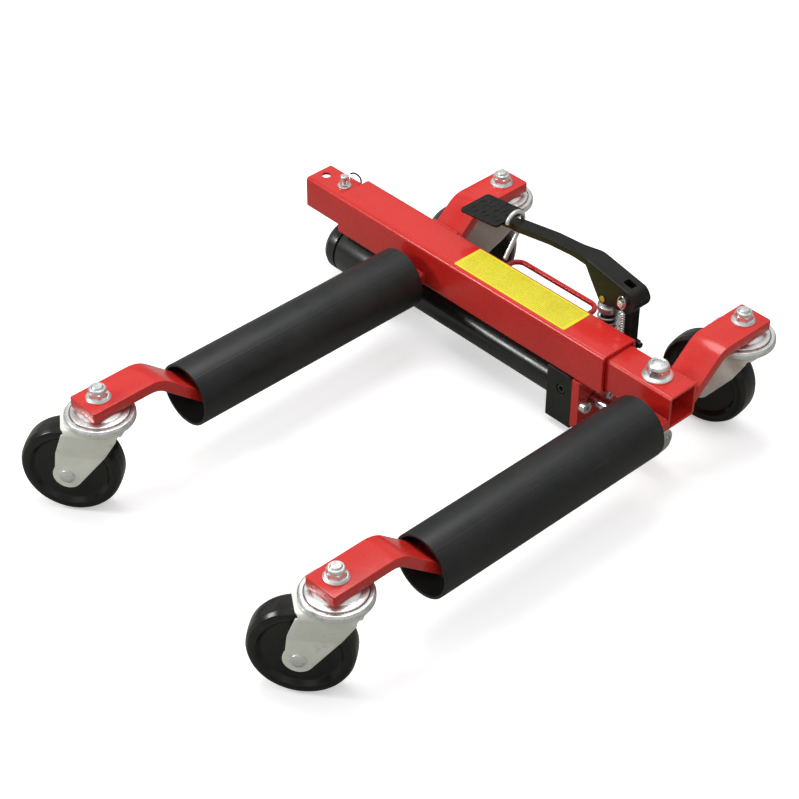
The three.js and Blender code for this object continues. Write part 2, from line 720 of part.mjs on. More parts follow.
function place(parent, name, manifold, look) {
  const mesh = new THREE.Mesh(toGeometry(manifold), new THREE.MeshStandardMaterial(look));
  mesh.name = name;
  parent.add(mesh);
  return mesh;
}

const outerFace = BEAM.outer / 2;
const innerFace = BEAM.inner / 2;

function addFrame() {
  place(layout, 'outer_tube', outerTube(), RED);
  place(layout, 'inner_tube', innerTube(), RED);
  place(layout, 'left_front_arm', frontArm(LEFT_ARM_X, -outerFace), RED);
  place(layout, 'left_rear_arm', rearArm(LEFT_ARM_X, outerFace), RED);
  place(layout, 'right_front_arm', frontArm(RIGHT_ARM_X, -innerFace), RED);
  place(layout, 'right_rear_arm', rearArm(RIGHT_ARM_X, innerFace), RED);
  place(layout, 'handle_loop', handleLoop(), RED);
  place(layout, 'beam_label', label(), YELLOW);
}

function addRollers() {
  for (const [side, x] of [['left', LEFT_ARM_X], ['right', RIGHT_ARM_X]]) {
    place(layout, `${side}_roller_tube`, rollerTube(x), ROLLER_BLACK);
    place(layout, `${side}_roller_front_bush`, frontBush(x), NYLON);
    place(layout, `${side}_roller_rear_bush`, rearBush(x), NYLON);
  }
}

function addCastor(corner, x, y) {
  const castor = new THREE.Group();
  castor.position.set(x, y, 0);
  const turning = new THREE.Group();
  turning.rotation.z = THREE.MathUtils.degToRad(TRAIL_ANGLE[corner]);
  castor.add(turning);
  layout.add(castor);
  place(castor, `${corner}_castor_stem`, castorStem(), ZINC);
  place(castor, `${corner}_lock_nut`, lockNut(), ZINC);
  place(turning, `${corner}_fork`, fork(), ZINC);
  place(turning, `${corner}_axle`, axle(), ZINC);
  place(turning, `${corner}_wheel`, wheel(), WHEEL_BLACK);
}

function addRam() {
  place(layout, 'reservoir', reservoir(), BLACK);
  place(layout, 'reservoir_cap', reservoirCap(), BLACK);
  place(layout, 'ram_cylinder', ramCylinder(), BLACK);
  place(layout, 'pump_block', pumpBlock(), BLACK);
  place(layout, 'release_valve', releaseValve(), BLACK);
  place(layout, 'ram_bracket', ramBracket(), RED);
  place(layout, 'front_bracket_bolt', bracketBolt(-BRACKET_BOLT.y), ZINC);
  place(layout, 'rear_bracket_bolt', bracketBolt(BRACKET_BOLT.y), ZINC);
  place(layout, 'ram_rod', ramRod(), STEEL);
  place(layout, 'ram_lug', ramLug(), RED);
  place(layout, 'ram_rod_nut', ramRodNut(), ZINC);
  place(layout, 'clamp_bolt', clampBolt(), ZINC);
}

function addPump() {
  place(layout, 'fulcrum_post', fulcrumPost(), BLACK);
  place(layout, 'post_screw', postScrew(), BLACK);
  place(layout, 'pivot_pin', pivotPin(), ZINC);
  place(layout, 'return_spring', returnSpring(), ZINC);
  place(layout, 'pump_plunger', pumpPlunger(), BLACK);
  place(layout, 'plunger_cap', plungerCap(), STEEL);
  place(layout, 'plunger_spring', plungerSpring(), ZINC);
  place(layout, 'pedal_lever', pedalLever(), BLACK);
  place(layout, 'press_pin', pressPin(), BRASS);
  place(layout, 'hold_down_hook', holdDownHook(), STEEL);
}

function addLockPin() {
  place(layout, 'lock_pin', lockPin(), ZINC);
  place(layout, 'lock_pin_ring', lockPinRing(), ZINC);
  place(layout, 'lanyard', lanyard(), BLACK);
}

addFrame();
addRollers();
addCastor('left_front', LEFT_ARM_X, CASTOR.frontY);
addCastor('right_front', RIGHT_ARM_X, CASTOR.frontY);
addCastor('left_rear', LEFT_ARM_X, CASTOR.rearY);
addCastor('right_rear', RIGHT_ARM_X, CASTOR.rearY);
addRam();
addPump();
addLockPin();

export default dolly;
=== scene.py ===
"""A hydraulic wheel dolly: telescoping square-tube beam, two idle rollers, four swivel castors and a foot pump.

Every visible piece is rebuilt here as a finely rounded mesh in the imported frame, in metres.
"""
import json
import math

import bmesh
import bpy
from mathutils import Matrix, Vector

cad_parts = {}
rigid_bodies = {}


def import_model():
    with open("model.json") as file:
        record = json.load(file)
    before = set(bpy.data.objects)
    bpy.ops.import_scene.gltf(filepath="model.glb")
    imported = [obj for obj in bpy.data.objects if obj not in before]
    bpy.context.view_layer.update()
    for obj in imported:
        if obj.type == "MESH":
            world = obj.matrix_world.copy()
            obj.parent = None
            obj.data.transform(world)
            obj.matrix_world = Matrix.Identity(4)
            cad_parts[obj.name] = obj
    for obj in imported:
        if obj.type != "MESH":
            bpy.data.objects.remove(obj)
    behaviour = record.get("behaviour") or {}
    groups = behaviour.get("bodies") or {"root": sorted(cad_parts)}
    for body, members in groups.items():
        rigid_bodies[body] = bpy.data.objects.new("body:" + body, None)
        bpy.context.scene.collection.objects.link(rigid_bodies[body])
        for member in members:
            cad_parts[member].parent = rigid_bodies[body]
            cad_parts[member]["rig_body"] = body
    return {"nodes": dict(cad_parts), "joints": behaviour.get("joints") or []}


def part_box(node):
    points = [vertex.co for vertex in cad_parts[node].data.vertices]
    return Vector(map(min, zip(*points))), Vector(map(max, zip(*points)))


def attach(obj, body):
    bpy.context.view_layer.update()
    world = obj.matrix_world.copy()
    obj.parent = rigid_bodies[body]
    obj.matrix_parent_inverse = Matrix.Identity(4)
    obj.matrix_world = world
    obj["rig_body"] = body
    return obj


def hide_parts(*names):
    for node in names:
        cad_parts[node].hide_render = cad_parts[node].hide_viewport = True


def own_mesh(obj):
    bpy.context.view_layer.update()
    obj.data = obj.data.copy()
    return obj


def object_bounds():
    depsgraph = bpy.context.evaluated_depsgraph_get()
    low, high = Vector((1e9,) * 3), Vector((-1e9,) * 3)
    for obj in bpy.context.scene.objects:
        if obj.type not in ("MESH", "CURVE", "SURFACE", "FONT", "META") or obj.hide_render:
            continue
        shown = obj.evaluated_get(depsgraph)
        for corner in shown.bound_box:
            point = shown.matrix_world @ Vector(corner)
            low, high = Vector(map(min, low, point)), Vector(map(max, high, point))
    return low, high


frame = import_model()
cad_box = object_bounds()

MM = 0.001
TAU = 2 * math.pi
X_AXIS = Vector((1, 0, 0))
Y_AXIS = Vector((0, 1, 0))
Z_AXIS = Vector((0, 0, 1))
SMOOTH_ANGLE = math.radians(28)

joints = {j["name"]: j for j in frame["joints"]}


# ---------- places read from the frame ----------
def low(node):
    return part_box(node)[0]


def high(node):
    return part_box(node)[1]


def middle(node):
    a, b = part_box(node)
    return (a + b) / 2


def size(node):
    a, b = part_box(node)
    return b - a


# ---------- meshes ----------
class Shell:
    """Vertices and faces of one piece, gathered from several closed solids."""

    def __init__(self):
        self.verts = []
        self.faces = []

    def add(self, verts, faces, matrix=None):
        base = len(self.verts)
        self.verts += [matrix @ Vector(v) if matrix else Vector(v) for v in verts]
        self.faces += [tuple(base + i for i in f) for f in faces]
        return self


def make(name, shell, body, material, node=None, bevel=0.0, weighted=False):
    """Turns a Shell into a piece that rides on a body and stands for a CAD node."""
    mesh = bpy.data.meshes.new(name)
    mesh.from_pydata([tuple(v) for v in shell.verts], [], shell.faces)
    bm = bmesh.new()
    bm.from_mesh(mesh)
    bmesh.ops.remove_doubles(bm, verts=bm.verts, dist=1e-7)
    bmesh.ops.recalc_face_normals(bm, faces=bm.faces)
    if bevel:
        edges = [e for e in bm.edges if e.is_manifold and e.calc_face_angle(0) > math.radians(35)]
        bmesh.ops.bevel(bm, geom=edges, offset=bevel, segments=3, profile=0.5, affect="EDGES", clamp_overlap=True)
    bm.to_mesh(mesh)
    bm.free()
    mesh.shade_smooth()
    mesh.set_sharp_from_angle(angle=SMOOTH_ANGLE)
    piece = bpy.data.objects.new(name, mesh)
    bpy.context.scene.collection.objects.link(piece)
    mesh.materials.append(material)
    if weighted:
        modifier = piece.modifiers.new("flat_normals", "WEIGHTED_NORMAL")
        modifier.keep_sharp = True
    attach(piece, body)
    if node:
        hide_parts(node)
    return piece


def filleted(points, default=0.0, steps=5):
    """Rounds the corners of an open or closed polyline of (a, b) or (a, b, radius) points."""
    closed = points[0][:2] == points[-1][:2]
    pts = points[:-1] if closed else points
    out = []
    n = len(pts)
    for i, p in enumerate(pts):
        radius = p[2] if len(p) > 2 else default
        if radius <= 0 or (not closed and i in (0, n - 1)):
            out.append((p[0], p[1]))
            continue
        here = Vector(p[:2])
        before = Vector(pts[i - 1][:2]) - here
        after = Vector(pts[(i + 1) % n][:2]) - here
        angle = before.angle(after)
        reach = min(radius / math.tan(angle / 2), before.length * 0.49, after.length * 0.49)
        start = here + before.normalized() * reach
        stop = here + after.normalized() * reach
        for k in range(steps + 1):
            t = k / steps
            q = start * (1 - t) ** 2 + here * 2 * t * (1 - t) + stop * t * t
            out.append((q.x, q.y))
    return out


def frame_matrix(origin, axis, x_hint=None):
    """A matrix whose local Z runs along axis from origin."""
    z = Vector(axis).normalized()
    hint = Vector(x_hint) if x_hint else (X_AXIS if abs(z.x) < 0.9 else Y_AXIS)
    y = z.cross(hint).normalized()
    x = y.cross(z)
    rows = Matrix((x, y, z)).transposed().to_4x4()
    return Matrix.Translation(origin) @ rows


def turned(profile, matrix, segments=64, hexes=()):
    """Revolves (radius, height) points about local Z. Indices in hexes follow a hexagon of that flat radius."""
    verts, faces, rings = [], [], []
    for i, (r, h) in enumerate(profile):
        if r < 1e-7:
            rings.append([len(verts)])
            verts.append((0, 0, h))
            continue
        ring = []
        for k in range(segments):
            a = TAU * k / segments
            reach = r
            if i in hexes:
                reach = r / math.cos((a + math.pi / 6) % (math.pi / 3) - math.pi / 6)
            ring.append(len(verts))
            verts.append((reach * math.cos(a), reach * math.sin(a), h))
        rings.append(ring)
    pairs = list(zip(rings, rings[1:]))
    if profile[0] != profile[-1] and len(rings[0]) > 1 and len(rings[-1]) > 1:
        pairs.append((rings[-1], rings[0]))
    for a, b in pairs:
        for k in range(segments):
            j = (k + 1) % segments
            if len(a) == 1 and len(b) == 1:
                continue
            if len(a) == 1:
                faces.append((a[0], b[k], b[j]))
            elif len(b) == 1:
                faces.append((a[k], a[j], b[0]))
            else:
                faces.append((a[k], a[j], b[j], b[k]))
    return Shell().add(verts, faces, matrix)


def loft(sections, closed_path=False):
    """Joins equal-length rings of points, and caps the two ends."""
    shell = Shell()
    n = len(sections[0])
    verts = [p for ring in sections for p in ring]
    faces = []
    count = len(sections)
    for i in range(count if closed_path else count - 1):
        a, b = i * n, ((i + 1) % count) * n
        for k in range(n):
            j = (k + 1) % n
            faces.append((a + k, a + j, b + j, b + k))
    if not closed_path:
        faces.append(tuple(range(n)))
        faces.append(tuple((count - 1) * n + k for k in range(n)))
    return shell.add(verts, faces)


def wire(points, radius, sides=14, closed=False):
    """A round wire along points, with flat or joined ends."""
    pts = [Vector(p) for p in points]
    n = len(pts)
    tangents = []
    for i in range(n):
        a = pts[(i - 1) % n] if closed or i else pts[0]
        b = pts[(i + 1) % n] if closed or i < n - 1 else pts[-1]
        tangents.append((b - a).normalized())
    normal = tangents[0].orthogonal().normalized()
    sections = []
    for i in range(n):
        t = tangents[i]
        normal = (normal - t * normal.dot(t)).normalized()
        side = t.cross(normal)
        ring = []
        for k in range(sides):
            a = TAU * k / sides
            ring.append(pts[i] + (normal * math.cos(a) + side * math.sin(a)) * radius)
        sections.append(ring)
    return loft(sections, closed)


def domed_wire(points, radius, sides=14):
    """A round wire whose two ends are rounded over."""
    pts = [Vector(p) for p in points]
    core = wire(pts, radius, sides)
    for end, inner in ((pts[0], pts[1]), (pts[-1], pts[-2])):
        profile = [(radius * math.cos(a), radius * 0.8 * math.sin(a)) for a in (0, 0.4, 0.8, 1.2)] + [(0, radius * 0.8)]
        dome = turned([(0, -radius * 0.5)] + [(radius, -radius * 0.5)] + profile,
                      frame_matrix(end, end - inner), sides)
        core.add(dome.verts, dome.faces)
    return core


def smooth_path(points, steps=10):
    """A Catmull-Rom curve through the points."""
    pts = [Vector(p) for p in points]
    pts = [2 * pts[0] - pts[1]] + pts + [2 * pts[-1] - pts[-2]]
    out = []
    for i in range(1, len(pts) - 2):
        a, b, c, d = pts[i - 1:i + 3]
        for k in range(steps):
            t = k / steps
            out.append(0.5 * ((2 * b) + (c - a) * t + (2 * a - 5 * b + 4 * c - d) * t * t
                              + (3 * b - a - 3 * c + d) * t ** 3))
    out.append(pts[-2])
    return out


def rounded_rect(width, height, radius, steps=5):
    """Corner-rounded rectangle as a list of (a, b) points, anticlockwise."""
    out = []
    for cx, cy, start in ((1, 1, 0), (-1, 1, 1), (-1, -1, 2), (1, -1, 3)):
        for k in range(steps + 1):
            a = (start + k / steps) * math.pi / 2
            out.append((cx * (width / 2 - radius) + radius * math.cos(a),
                        cy * (height / 2 - radius) + radius * math.sin(a)))
    return out


def box_shell(lo, hi, radius=0.8 * MM, steps=3):
    """A block with rounded vertical edges; its flat edges stay sharp."""
    w, d = hi.x - lo.x, hi.y - lo.y
    ring = rounded_rect(w, d, radius, steps)
    cx, cy = (lo.x + hi.x) / 2, (lo.y + hi.y) / 2
    return loft([[Vector((cx + a, cy + b, z)) for a, b in ring] for z in (lo.z, hi.z)])


def prism(outline, depth, matrix):
    """Extrudes an (a, b) outline along local Z from 0 to depth."""
    shell = loft([[Vector((a, b, h)) for a, b in outline] for h in (0, depth)])
    return Shell().add(shell.verts, shell.faces, matrix)


def cut(shell, *tools):
    """Subtracts closed shells from a shell with exact booleans."""
    def to_object(s):
        mesh = bpy.data.meshes.new("cut_work")
        mesh.from_pydata([tuple(v) for v in s.verts], [], s.faces)
        bm = bmesh.new()
        bm.from_mesh(mesh)
        bmesh.ops.remove_doubles(bm, verts=bm.verts, dist=1e-7)
        bmesh.ops.recalc_face_normals(bm, faces=bm.faces)
        bm.to_mesh(mesh)
        bm.free()
        ob = bpy.data.objects.new("cut_work", mesh)
        bpy.context.scene.collection.objects.link(ob)
        return ob

    work = to_object(shell)
    others = [to_object(t) for t in tools]
    for other in others:
        mod = work.modifiers.new("cut", "BOOLEAN")
        mod.operation = "DIFFERENCE"
        mod.solver = "EXACT"
        mod.object = other
    bpy.context.view_layer.update()
    result = work.evaluated_get(bpy.context.evaluated_depsgraph_get()).to_mesh()
    out = Shell().add([v.co.copy() for v in result.vertices], [tuple(p.vertices) for p in result.polygons])
    for ob in [work] + others:
        mesh = ob.data
        bpy.data.objects.remove(ob)
        bpy.data.meshes.remove(mesh)
    return out


def rod(axis, radius, start, stop, segments=48):
    """A plain round tool body from start to stop; the axis argument is not used."""
    a, b = Vector(start), Vector(stop)
    return turned([(0, 0), (radius, 0), (radius, (b - a).length), (0, (b - a).length)],
                  frame_matrix(a, b - a), segments)


# ---------- materials ----------
class Nodes:
    """Small helper that builds one procedural material."""

    def __init__(self, name):
        self.material = bpy.data.materials.new(name)
        self.material.use_nodes = True
        self.tree = self.material.node_tree
        self.bsdf = self.tree.nodes["Principled BSDF"]
        self.coords = self.tree.nodes.new("ShaderNodeTexCoord").outputs["Object"]

    def new(self, kind, **inputs):
        node = self.tree.nodes.new(kind)
        for key, value in inputs.items():
            self.put(node, key, value)
        return node

    def put(self, node, key, value):
        socket = node.inputs[key] if isinstance(key, int) else node.inputs[key.replace("_", " ")]
        if isinstance(value, bpy.types.NodeSocket):
            self.tree.links.new(value, socket)
        else:
            socket.default_value = value

    def scaled(self, factors):
        node = self.tree.nodes.new("ShaderNodeVectorMath")
        node.operation = "MULTIPLY"
        self.put(node, 0, self.coords)
        node.inputs[1].default_value = factors
        return node.outputs[0]

    def noise(self, scale, detail=4.0, rough=0.55, vector=None, distortion=0.0):
        node = self.new("ShaderNodeTexNoise", Vector=vector or self.coords, Scale=scale, Detail=detail,
                        Roughness=rough, Distortion=distortion)
        return node.outputs["Fac"]

    def voronoi(self, scale, feature="F1", vector=None):
        node = self.tree.nodes.new("ShaderNodeTexVoronoi")
        node.feature = feature
        self.put(node, "Vector", vector or self.coords)
        node.inputs["Scale"].default_value = scale
        return node.outputs["Distance"]

    def remap(self, value, a, b, c, d):
        node = self.tree.nodes.new("ShaderNodeMapRange")
        self.put(node, 0, value)
        for i, v in enumerate((a, b, c, d)):
            node.inputs[i + 1].default_value = v
        return node.outputs[0]

    def maths(self, op, a, b=0.0):
        node = self.tree.nodes.new("ShaderNodeMath")
        node.operation = op
        self.put(node, 0, a)
        self.put(node, 1, b)
        return node.outputs[0]

    def mix(self, fac, a, b):
        node = self.tree.nodes.new("ShaderNodeMix")
        node.data_type = "RGBA"
        self.put(node, 0, fac)
        for i, v in ((6, a), (7, b)):
            if isinstance(v, tuple):
                node.inputs[i].default_value = (*v, 1)
            else:
                self.tree.links.new(v, node.inputs[i])
        return node.outputs[2]

    def edges(self, radius, sharpness=6.0):
        """Near 1 on convex edges and 0 on flats."""
        bevel = self.tree.nodes.new("ShaderNodeBevel")
        bevel.samples = 3
        bevel.inputs["Radius"].default_value = radius
        geometry = self.tree.nodes.new("ShaderNodeNewGeometry")
        dot = self.tree.nodes.new("ShaderNodeVectorMath")
        dot.operation = "DOT_PRODUCT"
        self.tree.links.new(bevel.outputs[0], dot.inputs[0])
        self.tree.links.new(geometry.outputs["Normal"], dot.inputs[1])
        return self.maths("MULTIPLY", self.maths("SUBTRACT", 1.0, dot.outputs["Value"]), sharpness)

    def bump(self, height, strength, distance, normal=None):
        node = self.new("ShaderNodeBump", Height=height, Strength=strength, Distance=distance)
        if normal is not None:
            self.put(node, "Normal", normal)
        return node.outputs[0]

    def finish(self, **inputs):
        for key, value in inputs.items():
            if isinstance(value, tuple):
                value = (*value, 1)
            self.put(self.bsdf, key, value)
        return self.material


def red_paint():
    n = Nodes("red_enamel")
    cloud = n.noise(14, 3)
    base = n.mix(n.remap(cloud, 0.3, 0.7, 0, 1), (0.60, 0.020, 0.016), (0.68, 0.028, 0.022))
    dust = n.remap(n.noise(420, 2), 0.66, 0.74, 0, 0.35)
    base = n.mix(dust, base, (0.72, 0.10, 0.08))
    # Lighter red on rounded edges, broken up by noise: partly paint worn thin, partly a painted highlight along the
    # edges.
    worn_and_edge_highlight = n.remap(n.maths("MULTIPLY", n.edges(0.8 * MM), n.noise(160, 3)), 0.25, 0.6, 0, 0.55)
    base = n.mix(worn_and_edge_highlight, base, (0.80, 0.16, 0.12))
    peel = n.bump(n.noise(900, 2), 0.10, 0.2 * MM)
    ripple = n.bump(n.noise(55, 2), 0.10, 0.6 * MM, peel)
    rough = n.remap(n.noise(60, 4), 0.3, 0.7, 0.20, 0.32)
    return n.finish(Base_Color=base, Roughness=rough, Normal=ripple, Coat_Weight=0.25, Coat_Roughness=0.10, Specular_IOR_Level=0.35)


def roller_black(centre_z):
    """Satin black tube with fine drawn lines along Y, mill scale and a faint seam line."""
    n = Nodes("roller_satin_black")
    along = n.scaled((900, 12, 900))
    lines = n.noise(1.0, 3, vector=along)
    grime = n.noise(26, 5, 0.65)
    base = n.mix(n.remap(grime, 0.3, 0.75, 0, 1), (0.011, 0.012, 0.012), (0.022, 0.023, 0.022))
    scuff = n.maths("MULTIPLY", n.remap(lines, 0.62, 0.75, 0, 1), n.remap(n.noise(18, 3), 0.5, 0.7, 0, 1))
    base = n.mix(n.maths("MULTIPLY", scuff, 0.35), base, (0.16, 0.16, 0.15))
    specks = n.remap(n.voronoi(160), 0.03, 0.05, 0.5, 0.0)
    base = n.mix(n.maths("MULTIPLY", specks, n.remap(n.noise(30, 2), 0.62, 0.7, 0, 1)), base, (0.10, 0.10, 0.09))
    split = n.tree.nodes.new("ShaderNodeSeparateXYZ")
    n.put(split, 0, n.coords)
    seam = n.remap(n.maths("ABSOLUTE", n.maths("SUBTRACT", split.outputs["Z"], centre_z + 30 * MM)),
                   0.2 * MM, 0.5 * MM, 1, 0)
    normal = n.bump(lines, 0.12, 0.1 * MM)
    normal = n.bump(n.noise(700, 2), 0.12, 0.12 * MM, normal)
    normal = n.bump(seam, 0.35, 0.25 * MM, normal)
    rough = n.remap(grime, 0.3, 0.7, 0.36, 0.50)
    return n.finish(Base_Color=base, Roughness=rough, Normal=normal, Specular_IOR_Level=0.36)


def castor_black():
    """Glossy moulded black wheel, with faint swirl and dust."""
    n = Nodes("moulded_black_wheel")
    haze = n.noise(40, 4)
    base = n.mix(n.remap(haze, 0.35, 0.75, 0, 1), (0.006, 0.006, 0.005), (0.014, 0.013, 0.012))
    dust = n.remap(n.noise(500, 3), 0.64, 0.76, 0, 0.25)
    base = n.mix(dust, base, (0.09, 0.085, 0.075))
    normal = n.bump(n.noise(240, 3), 0.10, 0.2 * MM)
    rough = n.remap(haze, 0.3, 0.7, 0.16, 0.28)
    return n.finish(Base_Color=base, Roughness=rough, Normal=normal, Specular_IOR_Level=0.38)


def zinc_plate():
    """Bright zinc plating with spangle, faint yellow cast and handling marks."""
    n = Nodes("zinc_plate")
    spangle = n.voronoi(260, "SMOOTH_F1")
    cloud = n.noise(45, 5, 0.6)
    base = n.mix(n.remap(cloud, 0.3, 0.7, 0, 1), (0.86, 0.87, 0.77), (0.95, 0.96, 0.88))
    stain = n.remap(n.noise(90, 4), 0.58, 0.72, 0, 0.35)
    base = n.mix(stain, base, (0.52, 0.49, 0.38))
    rough = n.maths("ADD", n.remap(cloud, 0.3, 0.7, 0.26, 0.40), n.maths("MULTIPLY", spangle, 0.10))
    normal = n.bump(n.noise(380, 3), 0.14, 0.15 * MM)
    normal = n.bump(cloud, 0.10, 0.5 * MM, normal)
    return n.finish(Base_Color=base, Roughness=rough, Normal=normal, Metallic=0.22)


def bright_steel():
    n = Nodes("bright_steel")
    smear = n.noise(70, 4)
    base = n.mix(n.remap(smear, 0.3, 0.7, 0, 1), (0.66, 0.67, 0.68), (0.80, 0.81, 0.82))
    fleck = n.remap(n.noise(190, 5, 0.65), 0.56, 0.66, 0, 0.55)
    base = n.mix(fleck, base, (0.20, 0.20, 0.19))
    rough = n.remap(smear, 0.3, 0.75, 0.12, 0.26)
    normal = n.bump(n.noise(300, 3), 0.10, 0.15 * MM)
    return n.finish(Base_Color=base, Roughness=rough, Normal=normal, Metallic=1.0)


def plated_steel():
    """Bright plated pressing or fastener: mirror-like, with dull flecks."""
    n = Nodes("plated_steel")
    smear = n.noise(120, 4)
    base = n.mix(n.remap(smear, 0.3, 0.7, 0, 1), (0.78, 0.80, 0.78), (0.92, 0.94, 0.92))
    fleck = n.remap(n.noise(230, 5, 0.7), 0.56, 0.68, 0, 0.5)
    base = n.mix(fleck, base, (0.24, 0.25, 0.25))
    rough = n.remap(smear, 0.3, 0.7, 0.26, 0.38)
    normal = n.bump(n.noise(260, 3), 0.16, 0.2 * MM)
    return n.finish(Base_Color=base, Roughness=rough, Normal=normal, Metallic=0.9)


def cast_black(name="cast_black", tint=(0.007, 0.008, 0.007), grain=0.35):
    """Black enamel over a cast surface: coarse pits, soft sheen, rubbed edges."""
    n = Nodes(name)
    cloud = n.noise(30, 4)
    base = n.mix(n.remap(cloud, 0.3, 0.7, 0, 1), tint, tuple(c * 2.2 for c in tint))
    rubbed = n.remap(n.maths("MULTIPLY", n.edges(0.7 * MM), n.noise(140, 3)), 0.3, 0.7, 0, 0.6)
    base = n.mix(rubbed, base, (0.13, 0.13, 0.12))
    normal = n.bump(n.noise(420, 4, 0.6), grain, 0.25 * MM)
    normal = n.bump(n.noise(90, 3), grain * 0.5, 0.5 * MM, normal)
    rough = n.remap(n.noise(120, 3), 0.3, 0.7, 0.26, 0.44)
    return n.finish(Base_Color=base, Roughness=rough, Normal=normal, Specular_IOR_Level=0.24)


def smooth_black():
    """Sprayed gloss black on turned steel."""
    n = Nodes("gloss_black_enamel")
    cloud = n.noise(24, 3)
    base = n.mix(n.remap(cloud, 0.3, 0.7, 0, 1), (0.010, 0.010, 0.010), (0.020, 0.020, 0.019))
    dust = n.remap(n.noise(480, 2), 0.66, 0.75, 0, 0.2)
    base = n.mix(dust, base, (0.08, 0.08, 0.07))
    normal = n.bump(n.noise(500, 2), 0.08, 0.15 * MM)
    rough = n.remap(n.noise(70, 3), 0.3, 0.7, 0.20, 0.32)
    return n.finish(Base_Color=base, Roughness=rough, Normal=normal, Coat_Weight=0.2, Coat_Roughness=0.12, Specular_IOR_Level=0.4)


def yellow_film(lo, hi):
    """Printed yellow film: faint even ruling that stops short of the edges, with no lettering."""
    n = Nodes("yellow_film")
    split = n.tree.nodes.new("ShaderNodeSeparateXYZ")
    n.put(split, 0, n.coords)
    across = n.remap(split.outputs["Y"], lo.y, hi.y, 0, 1)
    lines = n.maths("PINGPONG", n.maths("MULTIPLY", across, 17.0), 0.5)
    margin = n.remap(n.maths("PINGPONG", across, 0.5), 0.05, 0.07, 0, 1)
    along = n.remap(split.outputs["X"], lo.x, hi.x, 0, 1)
    margin = n.maths("MULTIPLY", margin, n.remap(n.maths("PINGPONG", along, 0.5), 0.02, 0.03, 0, 1))
    fade = n.remap(n.noise(900, 2, vector=n.scaled((0.4, 1, 1))), 0.40, 0.60, 0.22, 0.62)
    rule = n.maths("MULTIPLY", n.maths("MULTIPLY", n.remap(lines, 0.22, 0.30, 0, 1), fade), margin)
    grain = n.noise(60, 3)
    base = n.mix(n.remap(grain, 0.3, 0.7, 0, 1), (0.80, 0.70, 0.02), (0.86, 0.76, 0.025))
    base = n.mix(rule, base, (0.24, 0.21, 0.03))
    normal = n.bump(n.noise(300, 2), 0.08, 0.1 * MM)
    return n.finish(Base_Color=base, Roughness=n.remap(grain, 0.3, 0.7, 0.38, 0.5), Normal=normal)


def brass():
    n = Nodes("turned_brass")
    tarnish = n.noise(150, 4)
    base = n.mix(n.remap(tarnish, 0.35, 0.7, 0, 1), (0.50, 0.36, 0.13), (0.38, 0.26, 0.10))
    normal = n.bump(n.noise(500, 2), 0.1, 0.1 * MM)
    return n.finish(Base_Color=base, Roughness=n.remap(tarnish, 0.3, 0.7, 0.25, 0.4), Normal=normal, Metallic=0.95)


def nylon():
    n = Nodes("black_nylon")
    grain = n.noise(200, 3)
    base = n.mix(n.remap(grain, 0.3, 0.7, 0, 1), (0.018, 0.018, 0.018), (0.034, 0.034, 0.033))
    normal = n.bump(n.noise(800, 2), 0.15, 0.1 * MM)
    return n.finish(Base_Color=base, Roughness=n.remap(grain, 0.3, 0.7, 0.5, 0.65), Normal=normal)


def black_cord():
    n = Nodes("braided_cord")
    weave = n.noise(1500, 2)
    base = n.mix(weave, (0.010, 0.010, 0.010), (0.040, 0.040, 0.040))
    normal = n.bump(weave, 0.5, 0.2 * MM)
    return n.finish(Base_Color=base, Roughness=n.remap(weave, 0.3, 0.7, 0.6, 0.8), Normal=normal)


def pale_floor():
    n = Nodes("pale_floor")
    grain = n.noise(3, 2)
    seen = n.tree.nodes.new("ShaderNodeLightPath").outputs["Is Camera Ray"]
    base = n.mix(grain, (0.92, 0.92, 0.92), (0.95, 0.95, 0.95))
    base = n.mix(seen, (0.34, 0.34, 0.31), base)
    glow = n.maths("MULTIPLY", seen, 0.42)
    return n.finish(Base_Color=base, Roughness=0.7, Normal=n.bump(n.noise(200, 2), 0.02, 0.1 * MM),
                    Specular_IOR_Level=0.1, Emission_Color=(1, 1, 1), Emission_Strength=glow)


RED = red_paint()
ZINC = zinc_plate()
STEEL = bright_steel()
PLATED = plated_steel()
CAST = cast_black()
GLOSS = smooth_black()
WHEEL = castor_black()
NYLON = nylon()


# ---------- beam ----------
def square_tube(node, wall, radius):
    """Open square tube along X with rounded corners and softened ends."""
    lo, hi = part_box(node)
    mid = (lo + hi) / 2
    side = hi.z - lo.z
    soft = 0.5 * MM
    outer = rounded_rect(side, side, radius, 9)
    outer_small = rounded_rect(side - 2 * soft, side - 2 * soft, radius - soft, 9)
    inner_radius = max(radius - wall, 1.2 * MM)
    hollow = side - 2 * wall
    inner = rounded_rect(hollow, hollow, inner_radius, 9)
    inner_wide = rounded_rect(hollow + 2 * soft, hollow + 2 * soft, inner_radius + soft, 9)
    rings = [(outer_small, lo.x), (outer, lo.x + soft), (outer, hi.x - soft), (outer_small, hi.x),
             (inner_wide, hi.x), (inner, hi.x - soft), (inner, lo.x + soft), (inner_wide, lo.x)]
    sections = [[Vector((x, mid.y + a, mid.z + b)) for a, b in ring] for ring, x in rings]
    return loft(sections, closed_path=True)


def weld_bead(x0, x1, y, z, along_z=0.0, radius=2.0 * MM):
    """A rippled fillet weld along X."""
    steps = 40
    sections = []
    for i in range(steps + 1):
        t = i / steps
        r = radius * (0.82 + 0.18 * abs(math.sin(t * 34)))
        if i in (0, steps):
            r *= 0.3
        x = x0 + (x1 - x0) * t
        sections.append([Vector((x, y + r * math.cos(TAU * k / 10), z + along_z * t + r * math.sin(TAU * k / 10)))
                         for k in range(10)])
    return loft(sections)


